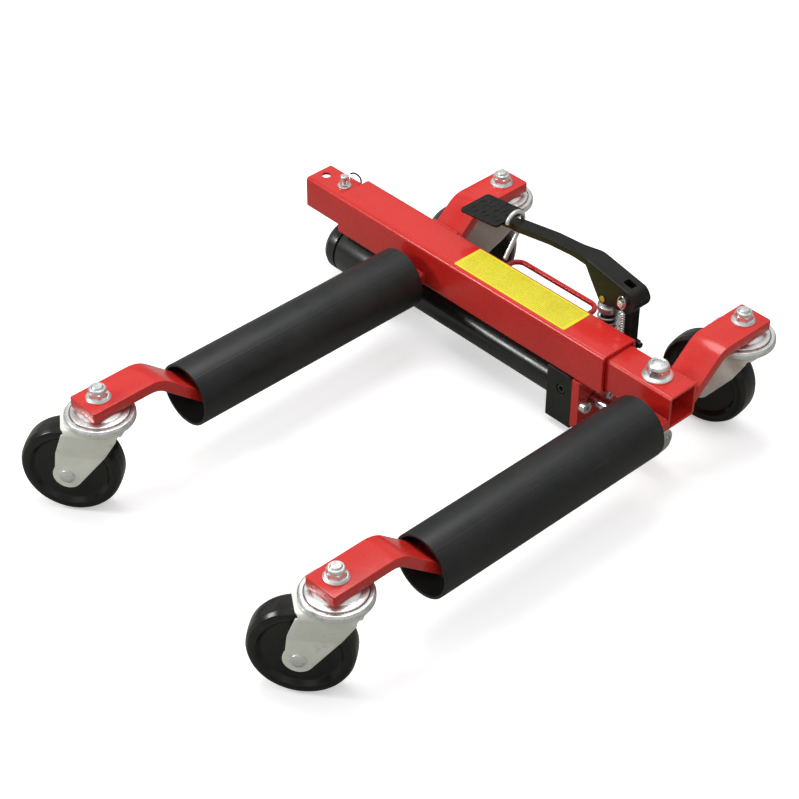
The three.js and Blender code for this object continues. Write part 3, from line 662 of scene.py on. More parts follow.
def build_beam():
    shell = square_tube("outer_tube", 4 * MM, 5 * MM)
    make("outer_tube_body", shell, "fixed_frame", RED, "outer_tube")
    shell = square_tube("inner_tube", 3 * MM, 4 * MM)
    lo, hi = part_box("inner_tube")
    pin_x = middle("lock_pin").x
    holes = []
    for x, r in ((pin_x, 5.3 * MM), (lo.x + PIN_HOLE_INSET, 5.3 * MM), (middle("clamp_bolt").x, 8.5 * MM)):
        holes.append(rod("z", r, (x, middle("inner_tube").y, lo.z - MM), (x, middle("inner_tube").y, hi.z + MM)))
    make("inner_tube_body", cut(shell, *holes), "sliding_frame", RED, "inner_tube")


PIN_HOLE_INSET = 12.3 * MM


# ---------- bent flat bars ----------
BAR_THICK = 12 * MM
BAR_BEND = {"front_high": 32 * MM, "front_low": 22 * MM, "rear": 24 * MM}
BAR_CORNER = 2 * MM


def bent_line(points, radii, steps=10):
    """Centre line [(y, z)] with round bends, as [(y, z, direction angle)]."""
    out = []
    last = len(points) - 1
    for i, p in enumerate(points):
        here = Vector(p)
        if i in (0, last):
            other = Vector(points[1] if i == 0 else points[last - 1])
            d = (other - here) if i == 0 else (here - other)
            out.append((here.x, here.y, math.atan2(d.y, d.x)))
            continue
        radius = radii[i - 1]
        d0 = (here - Vector(points[i - 1])).normalized()
        d1 = (Vector(points[i + 1]) - here).normalized()
        a0, a1 = math.atan2(d0.y, d0.x), math.atan2(d1.y, d1.x)
        turn = (a1 - a0 + math.pi) % TAU - math.pi
        reach = radius * math.tan(abs(turn) / 2)
        start = here - d0 * reach
        side = math.copysign(1, turn)
        centre = start + Vector((-d0.y, d0.x)) * side * radius
        for k in range(steps + 1):
            a = a0 + turn * k / steps
            q = centre + Vector((math.sin(a), -math.cos(a))) * side * radius
            out.append((q.x, q.y, a))
    return out


def flat_bar(x, width, line, free_end):
    """A bent flat bar with soft edges and, at its free end, two rounded corners."""
    stations = []
    corner_steps = 6
    start = line[0]
    direction = Vector((math.cos(start[2]), math.sin(start[2])))
    for k in range(corner_steps + 1):
        a = k / corner_steps * math.pi / 2
        ahead = BAR_CORNER * (1 - math.cos(a))
        narrow = BAR_CORNER * (1 - math.sin(a))
        point = Vector(start[:2]) + direction * ahead
        stations.append((point.x, point.y, start[2], width - 2 * narrow))
    stations += [(y, z, a, width) for y, z, a in line[1:]]
    if not free_end:
        stations = [(y, z, a, width) for y, z, a in line]
    sections = []
    edge = 1.1 * MM
    for i, (y, z, a, w) in enumerate(stations):
        thick = BAR_THICK - (1.0 * MM if i == 0 and free_end else 0.0)
        up = Vector((0, -math.sin(a), math.cos(a)))
        centre = Vector((x, y, z))
        sections.append([centre + X_AXIS * p + up * q for p, q in rounded_rect(w, thick, edge, 3)])
    return loft(sections)


def build_front_arm(side, body):
    node = f"{side}_front_arm"
    lo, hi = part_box(node)
    x = (lo.x + hi.x) / 2
    top = hi.z - BAR_THICK / 2
    axis_z = middle(f"{side}_roller_tube").z
    bend_high = lo.y + FRONT_BEND_FROM_END[0]
    bend_low = lo.y + FRONT_BEND_FROM_END[1]
    line = bent_line([(lo.y, top), (bend_high, top), (bend_low, axis_z), (hi.y, axis_z)],
                     (BAR_BEND["front_high"], BAR_BEND["front_low"]))
    shell = flat_bar(x, hi.x - lo.x, line, True)
    for z in (axis_z - BAR_THICK / 2, axis_z + BAR_THICK / 2):
        bead = weld_bead(lo.x + MM, hi.x - MM, hi.y - 1.2 * MM, z)
        shell.add(bead.verts, bead.faces)
    make(f"{node}_bar", shell, body, RED, node)


FRONT_BEND_FROM_END = (82.0 * MM, 140.0 * MM)
REAR_BEND_FROM_END = 73.0 * MM
REAR_SLOPE = 0.84


def build_rear_arm(side, body):
    node = f"{side}_rear_arm"
    lo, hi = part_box(node)
    x = (lo.x + hi.x) / 2
    top = hi.z - BAR_THICK / 2
    bend_y = hi.y - REAR_BEND_FROM_END
    run = bend_y - lo.y + 6 * MM
    line = bent_line([(hi.y, top), (bend_y, top), (lo.y - 6 * MM, top - run * REAR_SLOPE)],
                     (BAR_BEND["rear"],))
    shell = flat_bar(x, hi.x - lo.x, line, True)
    beyond = box_shell(Vector((lo.x - MM, lo.y - 30 * MM, lo.z - 30 * MM)), Vector((hi.x + MM, lo.y, hi.z)), 0.1 * MM)
    shell = cut(shell, beyond)
    tube_top = high("outer_tube" if side == "left" else "inner_tube").z
    bead = weld_bead(lo.x + MM, hi.x - MM, lo.y + 0.8 * MM, tube_top - 4.5 * MM, radius=2.4 * MM)
    shell.add(bead.verts, bead.faces)
    make(f"{node}_bar", shell, body, RED, node)


def build_handle():
    lo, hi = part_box("handle_loop")
    r = (hi.z - lo.z) / 2
    z = (lo.z + hi.z) / 2
    bend = 12 * MM
    x0, x1, y = lo.x + r, hi.x - r, hi.y - r
    path = [(x0, lo.y, z), (x0, (lo.y + y) / 2, z)]
    for cx, a0 in ((x0 + bend, math.pi), (x1 - bend, math.pi / 2)):
        for k in range(9):
            a = a0 - k / 8 * math.pi / 2
            path.append((cx + bend * math.cos(a), y - bend + bend * math.sin(a), z))
    path += [(x1, (lo.y + y) / 2, z), (x1, lo.y, z)]
    shell = wire(path, r, 20)
    for x in (x0, x1):
        fillet = turned([(0, 0), (r + 2.2 * MM, 0), (r + 1.0 * MM, 0.8 * MM), (r, 2.4 * MM), (0, 2.4 * MM)],
                        frame_matrix((x, lo.y, z), Y_AXIS), 24)
        shell.add(fillet.verts, fillet.faces)
    make("handle_rod", shell, "fixed_frame", RED, "handle_loop")


def build_label():
    lo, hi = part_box("beam_label")
    ring = rounded_rect(hi.x - lo.x, hi.y - lo.y, 2 * MM, 6)
    mid = (lo + hi) / 2
    rings = [[Vector((mid.x + a, mid.y + b, z)) for a, b in ring] for z in (lo.z, hi.z)]
    make("beam_label_film", loft(rings), "fixed_frame", yellow_film(lo, hi), "beam_label")


# ---------- rollers ----------
def build_roller(side):
    lo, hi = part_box(f"{side}_roller_tube")
    mid = (lo + hi) / 2
    r, length = (hi.z - lo.z) / 2, hi.y - lo.y
    wall, lip = 3 * MM, 0.8 * MM
    inner = r - wall
    profile = filleted([(inner, 0, lip), (r, 0, lip), (r, length, lip), (inner, length, lip), (inner, 0, lip)])
    profile.append(profile[0])
    matrix = frame_matrix((mid.x, lo.y, mid.z), Y_AXIS)
    make(f"{side}_roller_sleeve", turned(profile, matrix, 128), f"{side}_roller", roller_black(mid.z),
         f"{side}_roller_tube")
    for end in ("front", "rear"):
        node = f"{side}_roller_{end}_bush"
        a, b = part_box(node)
        bore, edge = 21.6 * MM, 0.8 * MM
        depth = b.y - a.y
        outer = (b.z - a.z) / 2
        profile = filleted([(bore, 0, edge), (outer, 0, edge), (outer, depth, edge), (bore, depth, edge),
                            (bore, 0, edge)])
        profile.append(profile[0])
        make(f"{node}_ring", turned(profile, frame_matrix((mid.x, a.y, mid.z), Y_AXIS), 96), f"{side}_roller",
             NYLON, node)


# ---------- castors ----------
LEG_INNER = 20.0 * MM
LEG_THICK = 2.6 * MM
LEG_LOBE = 15.2 * MM
NECK = (44.8 * MM, 67 * MM)
SHOULDER = {"foot": 78 * MM, "half": 28.5 * MM, "top": 110 * MM}
CROWN = {"z0": 112.5 * MM, "z1": 115.5 * MM, "nose": -31 * MM, "tail": 38.5 * MM, "tail_mid": 41.7 * MM,
         "ring": 36.2 * MM, "top": 124 * MM}
NOSE_FOLD = (90 * MM, 106 * MM)
TAIL_FOLD = (103 * MM, 111 * MM)


def ramp(value, span):
    """0 below the span, 1 above it, straight between."""
    return min(max((value - span[0]) / (span[1] - span[0]), 0.0), 1.0)


def castor_frame(corner):
    """King pin place, trail direction and trail length of one castor."""
    pivot = Vector(joints[f"{corner}_swivel"]["pos_m"])
    hub = Vector(joints[f"{corner}_wheel_spin"]["pos_m"])
    flat = Vector((hub.x - pivot.x, hub.y - pivot.y, 0))
    matrix = frame_matrix((pivot.x, pivot.y, 0), Z_AXIS, flat)
    return matrix, flat.length, hub.z


def leg_span(z, trail, hub_z):
    """Nose and tail of the fork leg at height z."""
    lead = math.radians(216)
    foot = Vector((trail + LEG_LOBE * math.cos(lead), hub_z + LEG_LOBE * math.sin(lead)))
    head = Vector((CROWN["nose"], CROWN["z1"] - 4 * MM))
    drop = z - hub_z
    lobe = math.sqrt(max(LEG_LOBE ** 2 - drop ** 2, 0))
    if z < foot.y:
        nose = trail - lobe
    else:
        t = min((z - foot.y) / (head.y - foot.y), 1)
        nose = foot.x + (head.x - foot.x) * t
    lobe_top = hub_z + LEG_LOBE * math.sin(math.radians(36))
    if z < lobe_top:
        tail = trail + lobe
    else:
        top = CROWN["z1"]
        edge = trail + LEG_LOBE * math.cos(math.radians(36))
        if z < NECK[1]:
            t = (z - lobe_top) / (NECK[1] - lobe_top)
            tail = edge + (NECK[0] - edge) * (t ** 0.5)
        else:
            tail = NECK[0] + (CROWN["tail"] - NECK[0]) * (z - NECK[1]) / (top - NECK[1])
    return nose, tail


def fork_path(hub_z):
    """Half of the strap seen along the trail: up one leg, over its flared shoulder, to the crown's middle."""
    leg, crown_z = LEG_INNER + LEG_THICK, CROWN["z1"]
    heights = [hub_z - LEG_LOBE * math.cos(k / 12 * math.radians(126)) for k in range(13)]
    heights[0] += 0.02 * MM
    path = [(-leg, z) for z in heights]
    bends = [(-leg, heights[-1] + MM), (-leg, SHOULDER["foot"], 30 * MM), (-SHOULDER["half"], SHOULDER["top"], 6 * MM),
             (-SHOULDER["half"] + 2.5 * MM, crown_z, 4 * MM), (0, crown_z)]
    return path + filleted(bends, steps=7)


def fork_shell(matrix, trail, hub_z):
    """Pressed strap: down one leg, over the crown and down the other, with flared shoulders."""
    crown_z = CROWN["z1"]
    path = fork_path(hub_z)
    path += [(-y, z) for y, z in reversed(path[:-1])]
    across = 10
    front, back = [], []
    for i, (y, z) in enumerate(path):
        before, after = path[max(i - 1, 0)], path[min(i + 1, len(path) - 1)]
        run = Vector((after[0] - before[0], after[1] - before[1])).normalized()
        nose, tail = leg_span(min(z, crown_z - 0.2 * MM), trail, hub_z)
        nose += (max(nose, -math.sqrt(CROWN["ring"] ** 2 - y * y)) - nose) * ramp(z, NOSE_FOLD)
        tail += (math.sqrt(CROWN["tail_mid"] ** 2 - y * y) - tail) * ramp(z, TAIL_FOLD)
        inward = Vector((0, run.y, -run.x)) * LEG_THICK
        for k in range(across + 1):
            x = nose + (tail - nose) * k / across
            front.append(Vector((x, y, z)))
            back.append(Vector((x, y, z)) + inward)
    rows, cols = len(path), across + 1
    faces = []
    total = rows * cols
    for i in range(rows - 1):
        for k in range(across):
            a = i * cols + k
            b = a + cols
            faces.append((a, a + 1, b + 1, b))
            faces.append((total + a, total + b, total + b + 1, total + a + 1))
        a, b = i * cols, (i + 1) * cols
        faces.append((a, b, total + b, total + a))
        a, b = a + across, b + across
        faces.append((a, total + a, total + b, b))
    for k in range(across):
        faces.append((k, total + k, total + k + 1, k + 1))
        a = (rows - 1) * cols + k
        faces.append((a, a + 1, total + a + 1, total + a))
    return Shell().add(front + back, faces, matrix)


RACE_BORE = 30.7 * MM


def raceway(matrix):
    r, top, base = CROWN["ring"], CROWN["top"], CROWN["z1"]
    points = [(0, base - MM), (r - 2.5 * MM, base - MM, 1.0 * MM), (r, base + 1.6 * MM, 1.2 * MM),
              (r, top - 2.6 * MM, 1.6 * MM), (r - 1.8 * MM, top, 1.6 * MM), (RACE_BORE, top, 0.5 * MM),
              (RACE_BORE, top - 3.4 * MM), (24 * MM, base + 2.6 * MM), (0, base + 2.6 * MM)]
    return turned(filleted(points, steps=6), matrix, 96)


def build_castor(corner, base):
    matrix, trail, hub_z = castor_frame(corner)
    swivel, rolling = f"{corner}_swivel", f"{corner}_wheel"
    shell = fork_shell(matrix, trail, hub_z)
    make(f"{corner}_fork_pressing", shell, swivel, ZINC, f"{corner}_fork", bevel=0.35 * MM)
    make(f"{corner}_fork_raceway", raceway(matrix), swivel, PLATED, f"{corner}_fork", bevel=0.35 * MM)
    build_axle(corner, matrix, trail, hub_z)
    build_wheel(corner, matrix, trail, hub_z, rolling)
    build_stem(corner, matrix, base)
    build_nut(f"{corner}_lock_nut", base)


def build_axle(corner, matrix, trail, hub_z):
    face = LEG_INNER + LEG_THICK
    rod_r = 6 * MM
    head = filleted([(0, -face - 4.6 * MM), (4.6 * MM, -face - 4.4 * MM, 2 * MM), (7.7 * MM, -face - 2.4 * MM, 1.4 * MM),
                     (7.9 * MM, -face - 0.1 * MM), (rod_r, -face - 0.1 * MM), (rod_r, face + 0.1 * MM),
                     (7.9 * MM, face + 0.1 * MM), (7.6 * MM, face + 2.2 * MM, 1.2 * MM), (4.0 * MM, face + 3.2 * MM, 1 * MM),
                     (0, face + 3.3 * MM)])
    place = matrix @ frame_matrix((trail, 0, hub_z), Y_AXIS)
    make(f"{corner}_axle_rivet", turned(head, place, 40), f"{corner}_swivel", PLATED, f"{corner}_axle")


WHEEL_HALF = 15.5 * MM


def build_wheel(corner, matrix, trail, hub_z, body):
    lo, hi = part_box(f"{corner}_wheel")
    r = (hi.z - lo.z) / 2
    half, bore, hub = WHEEL_HALF, 6.5 * MM, 19 * MM
    one = [(bore, hub), (12.4 * MM, hub, 0.8 * MM), (14.6 * MM, half - 4.6 * MM, 2.5 * MM),
           (24 * MM, half - 5.2 * MM, 3 * MM), (r - 15 * MM, half - 4.8 * MM, 3 * MM),
           (r - 10.5 * MM, half - 0.4 * MM, 2.2 * MM), (r - 7 * MM, half, 1.2 * MM),
           (r - 3.2 * MM, half - 0.8 * MM, 3.0 * MM), (r - 0.5 * MM, half - 6 * MM, 3.4 * MM), (r, 2 * MM, 2 * MM)]
    two = [(p[0], -p[1], *p[2:]) for p in reversed(one)]
    profile = filleted(one + two + [one[0]], steps=6)
    profile.append(profile[0])
    place = matrix @ frame_matrix((trail, 0, hub_z), Y_AXIS)
    make(f"{corner}_wheel_moulding", turned(profile, place, 128), body, WHEEL, f"{corner}_wheel")


def build_stem(corner, matrix, base):
    node = f"{corner}_castor_stem"
    lo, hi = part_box(node)
    plate_r = (hi.x - lo.x) / 2
    bar_under = low(f"{corner}_lock_nut").z - BAR_THICK
    r = 6 * MM
    points = [(0, lo.z), (plate_r - 6 * MM, lo.z, MM), (plate_r, lo.z + 4 * MM, 2 * MM),
              (plate_r - 0.2 * MM, lo.z + 6.2 * MM, 1.4 * MM), (plate_r - 7 * MM, lo.z + 7.0 * MM, 2 * MM),
              (18 * MM, bar_under, MM), (r, bar_under), (r, hi.z - 1.4 * MM, 0.6 * MM), (r - 1.2 * MM, hi.z, 0.3 * MM),
              (0, hi.z)]
    make(f"{node}_post", turned(filleted(points), matrix, 72), base, PLATED, node)


def build_nut(node, body):
    """Flange lock nut with a domed collar."""
    lo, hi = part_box(node)
    mid = (lo + hi) / 2
    flange = (hi.x - lo.x) / 2
    flat, collar, bore, z = 9 * MM, 8.9 * MM, 6.2 * MM, hi.z - lo.z
    points = [(bore, 0), (flange, 0), (flange, 1.1 * MM), (flange - 0.7 * MM, 1.7 * MM), (11.0 * MM, 2.8 * MM),
              (flat, 3.0 * MM), (flat, 8.2 * MM), (flat - 0.1 * MM, 8.9 * MM), (collar, 9.2 * MM), (collar, 10.6 * MM),
              (collar - 0.5 * MM, 11.8 * MM), (collar - 1.6 * MM, z), (bore, z), (bore, 0)]
    shell = turned(points, Matrix.Translation((mid.x, mid.y, lo.z)), 96, hexes=(5, 6))
    make(f"{node}_body", shell, body, PLATED, node)


# ---------- pump and ram ----------
DATUM = Vector(joints["pedal_press"]["pos_m"]) - Vector((379, 47, 152)) * MM


def at(x, y, z):
    """A place in millimetres from the beam's own datum."""
    return DATUM + Vector((x, y, z)) * MM


def mm(points):
    return [tuple(v * MM for v in p) for p in points]


def lathe(points, origin, axis, segments=64, hexes=(), round_over=True):
    """Turns a profile given in millimetres about an axis through a place in millimetres."""
    profile = filleted(mm(points)) if round_over else mm(points)
    if points[0][:2] == points[-1][:2] and profile[0] != profile[-1]:
        profile.append(profile[0])
    return turned(profile, frame_matrix(at(*origin), axis), segments, hexes)


def joined(*shells):
    whole = Shell()
    for shell in shells:
        whole.add(shell.verts, shell.faces)
    return whole


def soft_block(lo, hi, radius, segments=4):
    """A block between two places in millimetres, rounded on every edge."""
    a, b = at(*lo), at(*hi)
    bm = bmesh.new()
    corners = [bm.verts.new((x, y, z)) for x in (a.x, b.x) for y in (a.y, b.y) for z in (a.z, b.z)]
    for quad in ((0, 1, 3, 2), (4, 6, 7, 5), (0, 4, 5, 1), (2, 3, 7, 6), (0, 2, 6, 4), (1, 5, 7, 3)):
        bm.faces.new([corners[i] for i in quad])
    bmesh.ops.bevel(bm, geom=list(bm.edges), offset=radius * MM, segments=segments, profile=0.5, affect="EDGES")
    bm.verts.index_update()
    shell = Shell().add([v.co.copy() for v in bm.verts], [tuple(v.index for v in f.verts) for f in bm.faces])
    bm.free()
    return shell


def plate_yz(outline, x0, x1):
    """Extrudes a (y, z) outline in millimetres from x0 to x1."""
    ring = filleted(mm(outline + [outline[0]]))
    return prism(ring, (x1 - x0) * MM, frame_matrix(at(x0, 0, 0), X_AXIS, Y_AXIS))


def plate_xz(outline, y0, y1):
    """Extrudes an (x, z) outline in millimetres from y1 down to y0."""
    ring = filleted(mm(outline + [outline[0]]))
    return prism(ring, (y1 - y0) * MM, frame_matrix(at(0, y1, 0), -Y_AXIS, X_AXIS))


def bore(axis, radius, x, y, z, length, segments=48):
    """A round tool body in millimetres, starting at a place."""
    a = Vector((x, y, z))
    step = {"x": X_AXIS, "y": Y_AXIS, "z": Z_AXIS}[axis]
    return rod(axis, radius * MM, at(*a), at(*(a + step * length)), segments)


RAM_Z = 42.0


def bevelled(shell, width):
    """The same solid with its sharp edges rounded by a width in millimetres."""
    mesh = bpy.data.meshes.new("bevel_work")
    mesh.from_pydata([tuple(v) for v in shell.verts], [], shell.faces)
    bm = bmesh.new()
    bm.from_mesh(mesh)
    bpy.data.meshes.remove(mesh)
    bmesh.ops.recalc_face_normals(bm, faces=bm.faces)
    edges = [e for e in bm.edges if e.is_manifold and e.calc_face_angle(0) > math.radians(35)]
    bmesh.ops.bevel(bm, geom=edges, offset=width * MM, segments=3, profile=0.5, affect="EDGES", clamp_overlap=True)
    bm.verts.index_update()
    out = Shell().add([v.co.copy() for v in bm.verts], [tuple(v.index for v in f.verts) for f in bm.faces])
    bm.free()
    return out


def build_ram():
    body = "fixed_frame"
    tank = [(0, -3), (27.5, -3), (27.5, -0.5), (30.5, -0.5, 0.8), (30.5, 90, 2.5), (19, 90), (0, 90)]
    weld = [(19, 88.5), (24.5, 89.5, 1.5), (23.6, 92.0, 1.5), (19.5, 94.0, 1), (19, 88.5)]
    shell = joined(lathe(tank, (0, 0, RAM_Z), X_AXIS, 128), lathe(weld, (0, 0, RAM_Z), X_AXIS, 96))
    make("reservoir_tube", shell, body, GLOSS, "reservoir")
    cap = [(0, 0), (21.5, 0, 1.2), (27.5, 2.5, 2.5), (30.5, 8, 2), (30.5, 19, 0.8), (0, 19)]
    make("reservoir_end_cap", lathe(cap, (-22, 0, RAM_Z), X_AXIS, 128), body, GLOSS, "reservoir_cap")
    barrel = [(16, 102), (16, 331), (20, 331), (20, 90), (0, 90), (0, 102), (16, 102)]
    seam = [(19, 324), (21.8, 327, 1.2), (22.6, 331), (19, 331), (19, 324)]
    shell = joined(lathe(barrel, (0, 0, RAM_Z), X_AXIS, 96, round_over=False),
                   lathe(seam, (0, 0, RAM_Z), X_AXIS, 96))
    make("ram_barrel", shell, body, GLOSS, "ram_cylinder")
    rod_line = [(0, 0), (15.6, 0, 0.5), (15.6, 16, 0.5), (8, 16), (8, 193.4), (6.6, 195), (0, 195)]
    make("ram_rod_chrome", lathe(rod_line, (284, 0, RAM_Z), X_AXIS, 64), "sliding_frame", STEEL, "ram_rod")
    nut = [(8.2, 0), (13.8, 0, 0.6), (13.8, 4.8, 0.8), (12.4, 5.6, 0.4), (8.2, 5.6), (8.2, 0)]
    make("ram_rod_nut_disc", lathe(nut, (470, 0, RAM_Z), X_AXIS, 64), "sliding_frame", PLATED, "ram_rod_nut")
    lug = soft_block((446, -16, 24), (470, 16, 80), 2.5)
    lug = cut(lug, bore("x", 8.4, 445, 0, RAM_Z, 26), bore("z", 8.4, 459, 0, 52, 40))
    make("ram_lug_block", lug, "sliding_frame", RED, "ram_lug", weighted=True)


def build_block():
    body = "fixed_frame"
    face = [(331, 8, 1.5), (367, 8, 1.5), (367, 75, 6.5), (331, 75, 1.5)]
    block = bevelled(plate_xz(face, -25, 64), 0.9)
    block = cut(block, bore("x", 8.6, 330, 0, RAM_Z, 40), bore("y", 6.4, 351.5, -26, 53, 8),
                bore("z", 6, 348.5, 47, 55, 30), bore("x", 4.2, 347, -18, RAM_Z, 22), bore("x", 4.2, 347, 18, RAM_Z, 22))
    boss = [(6, 74), (17, 74), (14.2, 76.4, 1.5), (13, 80, 1), (13, 92, 1.2), (6, 92, 0.5), (6, 74)]
    shell = joined(block, lathe(boss, (348.5, 47, 0), Z_AXIS, 64))
    make("pump_block_casting", shell, body, BLOCK, "pump_block", weighted=True)
    screw = [(0, 0), (5.6, 0), (5.6, 5.2), (5.0, 6.0), (2.9, 6.0), (2.7, 5.8), (2.7, 2.4), (0, 1.6)]
    shell = lathe(screw, (351.5, -18.4, 53), -Y_AXIS, 48, hexes=(4, 5, 6), round_over=False)
    make("release_valve_screw", shell, "release_valve", GLOSS, "release_valve")
    web = [(-25, 12, 1.5), (60, 12, 1.5), (60, 92.5, 3), (25.6, 92.5), (25.6, 74.6), (-25, 74.6, 1)]
    plate = plate_yz(web, 367, 377)
    plate = cut(plate, bore("x", 9.2, 366, 0, RAM_Z, 12), bore("x", 4.2, 366, -18, RAM_Z, 12),
                bore("x", 4.2, 366, 18, RAM_Z, 12))
    bead = [at(x, y, 74.2) for x, y in ((377.2, -24), (377.2, 24))]
    weld = wire([bead[0] + (bead[1] - bead[0]) * k / 30 for k in range(31)], 1.6 * MM, 10)
    make("ram_bracket_plate", joined(plate, weld), body, RED, "ram_bracket", bevel=0.6 * MM,
         weighted=True)
    for end, y in (("front", -18), ("rear", 18)):
        head = [(0, 0), (3.9, 0), (3.9, 28), (6.5, 28), (6.5, 35), (5.8, 36), (3.0, 36), (2.8, 35.8), (2.8, 32), (0, 31.4)]
        shell = lathe(head, (349, y, RAM_Z), X_AXIS, 48, hexes=(6, 7, 8), round_over=False)
        make(f"{end}_bracket_cap_screw", shell, body, PLATED, f"{end}_bracket_bolt")


def build_clamp_bolt():
    z = 120
    stem = [(0, 57), (7.9, 57, 0.8), (7.9, z), (16.2, z, 0.5), (16.2, z + 1.5, 0.5), (15.0, z + 2.4, 0.5),
            (12.4, z + 3.8, 0.8), (0, z + 3.8)]
    parts = [lathe(stem, (459, 0, 0), Z_AXIS, 96)]
    hexed = [(0, z + 3), (11, z + 3), (11, z + 10), (10.8, z + 11), (0, z + 11)]
    parts.append(lathe(hexed, (459, 0, 0), Z_AXIS, 96, hexes=(1, 2), round_over=False))
    dome = [(0, z + 10), (11.9, z + 10), (11.9, z + 12.6, 1.4), (10.4, z + 15.4, 1.4), (8.6, z + 16.2, 0.6),
            (7.8, z + 15.5, 0.4), (5, z + 16.9, 1), (0, z + 17.8)]
    parts.append(lathe(dome, (459, 0, 0), Z_AXIS, 96))
    make("clamp_bolt_body", joined(*parts), "sliding_frame", PLATED, "clamp_bolt")


def build_post():
    body = "fixed_frame"
    stem = [(40, 62, 1.5), (54, 62, 1.5), (54, 84, 1.5), (60, 84, 1), (60, 92.5, 1), (54, 92.5, 1.5), (54, 158, 5),
            (40, 158, 5), (40, 92.5, 1.5), (27, 92.5, 1), (27, 84, 1), (40, 84, 1.5)]
    web = cut(plate_yz(stem, 377, 385), bore("y", 4.3, 379, 30, 152, 32), bore("x", 2.4, 376, 56.5, 88.5, 10),
              bore("z", 1.6, 381, 30.5, 80, 20, 20))
    eye = [(4.3, 40), (8, 40, 1), (8, 54, 1), (4.3, 54), (4.3, 40)]
    shell = joined(web, lathe(eye, (379, 0, 152), Y_AXIS, 48))
    make("fulcrum_post_arm", shell, body, CAST, "fulcrum_post", bevel=0.5 * MM, weighted=True)
    screw = [(0, -7.7), (2.2, -7.7), (2.2, 0), (3.5, 0), (3.5, 3.2, 0.8), (2.4, 4.0, 0.4), (0, 4.2)]
    make("post_screw_head", lathe(screw, (385, 56.5, 88.5), X_AXIS, 32), body, GLOSS, "post_screw")
    pin = [(0, 27), (3.3, 27), (4, 27.8), (4, 60.4), (7, 60.4, 0.4), (6.6, 62.2, 1), (3, 63.2, 1), (0, 63.4)]
    make("pivot_pin_rivet", lathe(pin, (379, 0, 152), Y_AXIS, 40), body, PLATED, "pivot_pin")
    build_return_spring(body)


def build_return_spring(body):
    """Close-wound tension spring from the pivot pin's end to the post's foot."""
    points = []
    y, wire_r = 30.5, 0.75
    for k in range(25):
        a = math.radians(-75 + 330 * k / 24)
        points.append(at(379 + 4.9 * math.cos(a), y, 153 + 7.4 * math.sin(a)))
    points += [at(380.4, y, 143.8), at(381.6, y, 142.4)]
    turns, per_turn, reach = 11, 16, 2.7
    for k in range(turns * per_turn + 1):
        a = TAU * k / per_turn
        points.append(at(381 + reach * math.cos(a), y + reach * math.sin(a), 140.5 - 35.5 * k / (turns * per_turn)))
    points += [at(382, y, 103.6), at(381, y, 101.5), at(381, y, 96), at(381, y, 90)]
    make("return_spring_coil", wire(points, wire_r * MM, 8), body, STEEL, "return_spring")


def build_plunger():
    body = "plunger"
    stem = [(0, 70), (5, 70, 0.6), (5.4, 71), (5.4, 104), (8.5, 104, 0.6), (8.5, 120, 0.6), (4.6, 120), (4.6, 135.8, 0.6),
            (0, 136.2)]
    make("plunger_stem", lathe(stem, (348.5, 47, 0), Z_AXIS, 48), body, GLOSS, "pump_plunger")
    cap = [(4.8, 0), (12.2, 0, 0.8), (12.2, 6.8, 0.8), (11.4, 7.6, 0.5), (11.4, 8.4, 0.5), (9.8, 9.5, 0.8), (4.8, 9.5, 0.4),
           (4.8, 0)]
    make("plunger_cap_ring", lathe(cap, (348.5, 47, 120.1), Z_AXIS, 72), body, PLATED, "plunger_cap")
    turns, per_turn = 3.5, 24
    total = int(turns * per_turn)
    z0, z1 = 93.6, 118.4
    points = [at(348.5 + 11 * math.cos(TAU * k / per_turn), 47 + 11 * math.sin(TAU * k / per_turn),
                 z0 + (z1 - z0) * k / total) for k in range(total + 1)]
    spring = make("plunger_spring_coil", domed_wire(points, 1.25 * MM, 10), body, PLATED, "plunger_spring")
    pin = [(0, 32.5), (3.4, 32.5), (4, 33.1), (4, 60.9), (3.4, 61.5), (0, 61.5)]
    make("press_pin_brass", lathe(pin, (350, 0, 140.5), Y_AXIS, 40), "pedal", BRASS, "press_pin")
    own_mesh(spring)


# ---------- pedal ----------
LEVER_TOP = ((190, 159.5), (199, 161), (266, 172.3), (325, 177), (384.5, 164.6))
PIVOT_X, PIVOT_Z, NOSE_R = 379, 152, 14
LEVER_Y = 47


def lever_top(x):
    def line(v):
        if v > 384.0:
            return PIVOT_Z + math.sqrt(max(NOSE_R ** 2 - (v - PIVOT_X) ** 2, 0))
        for (xa, za), (xb, zb) in zip(LEVER_TOP, LEVER_TOP[1:]):
            if v <= xb:
                return za + (zb - za) * (v - xa) / (xb - xa)
        return LEVER_TOP[-1][1]

    span = min(2.5, PIVOT_X + NOSE_R - x)
    return sum(line(x + span * k / 4) for k in range(-4, 5)) / 9


def lever_bottom(x):
    if x < 323:
        return lever_top(x) - 7.8
    if x < 343.8:
        return 169.2 - (x - 323) * 31.9 / 20.8
    if x < 352.2:
        return 140.5 - math.sqrt(49 - (x - 350) ** 2)
    if x < 360:
        return 133.84 + (x - 352.2) * 2.66 / 7.8
    if x < PIVOT_X:
        return 136.5 + (x - 360) * 1.5 / 19
    return PIVOT_Z - math.sqrt(max(NOSE_R ** 2 - (x - PIVOT_X) ** 2, 0))


def lever_half(x):
    neck, arm, wide = 7.2, 9.0, 13.0
    if x < 217:
        t = min(max((x - 211) / 6, 0), 1)
        return neck + (arm - neck) * t * t * (3 - 2 * t)
    t = min(max((x - 296) / 36, 0), 1)
    return arm + (wide - arm) * t * t * (3 - 2 * t)


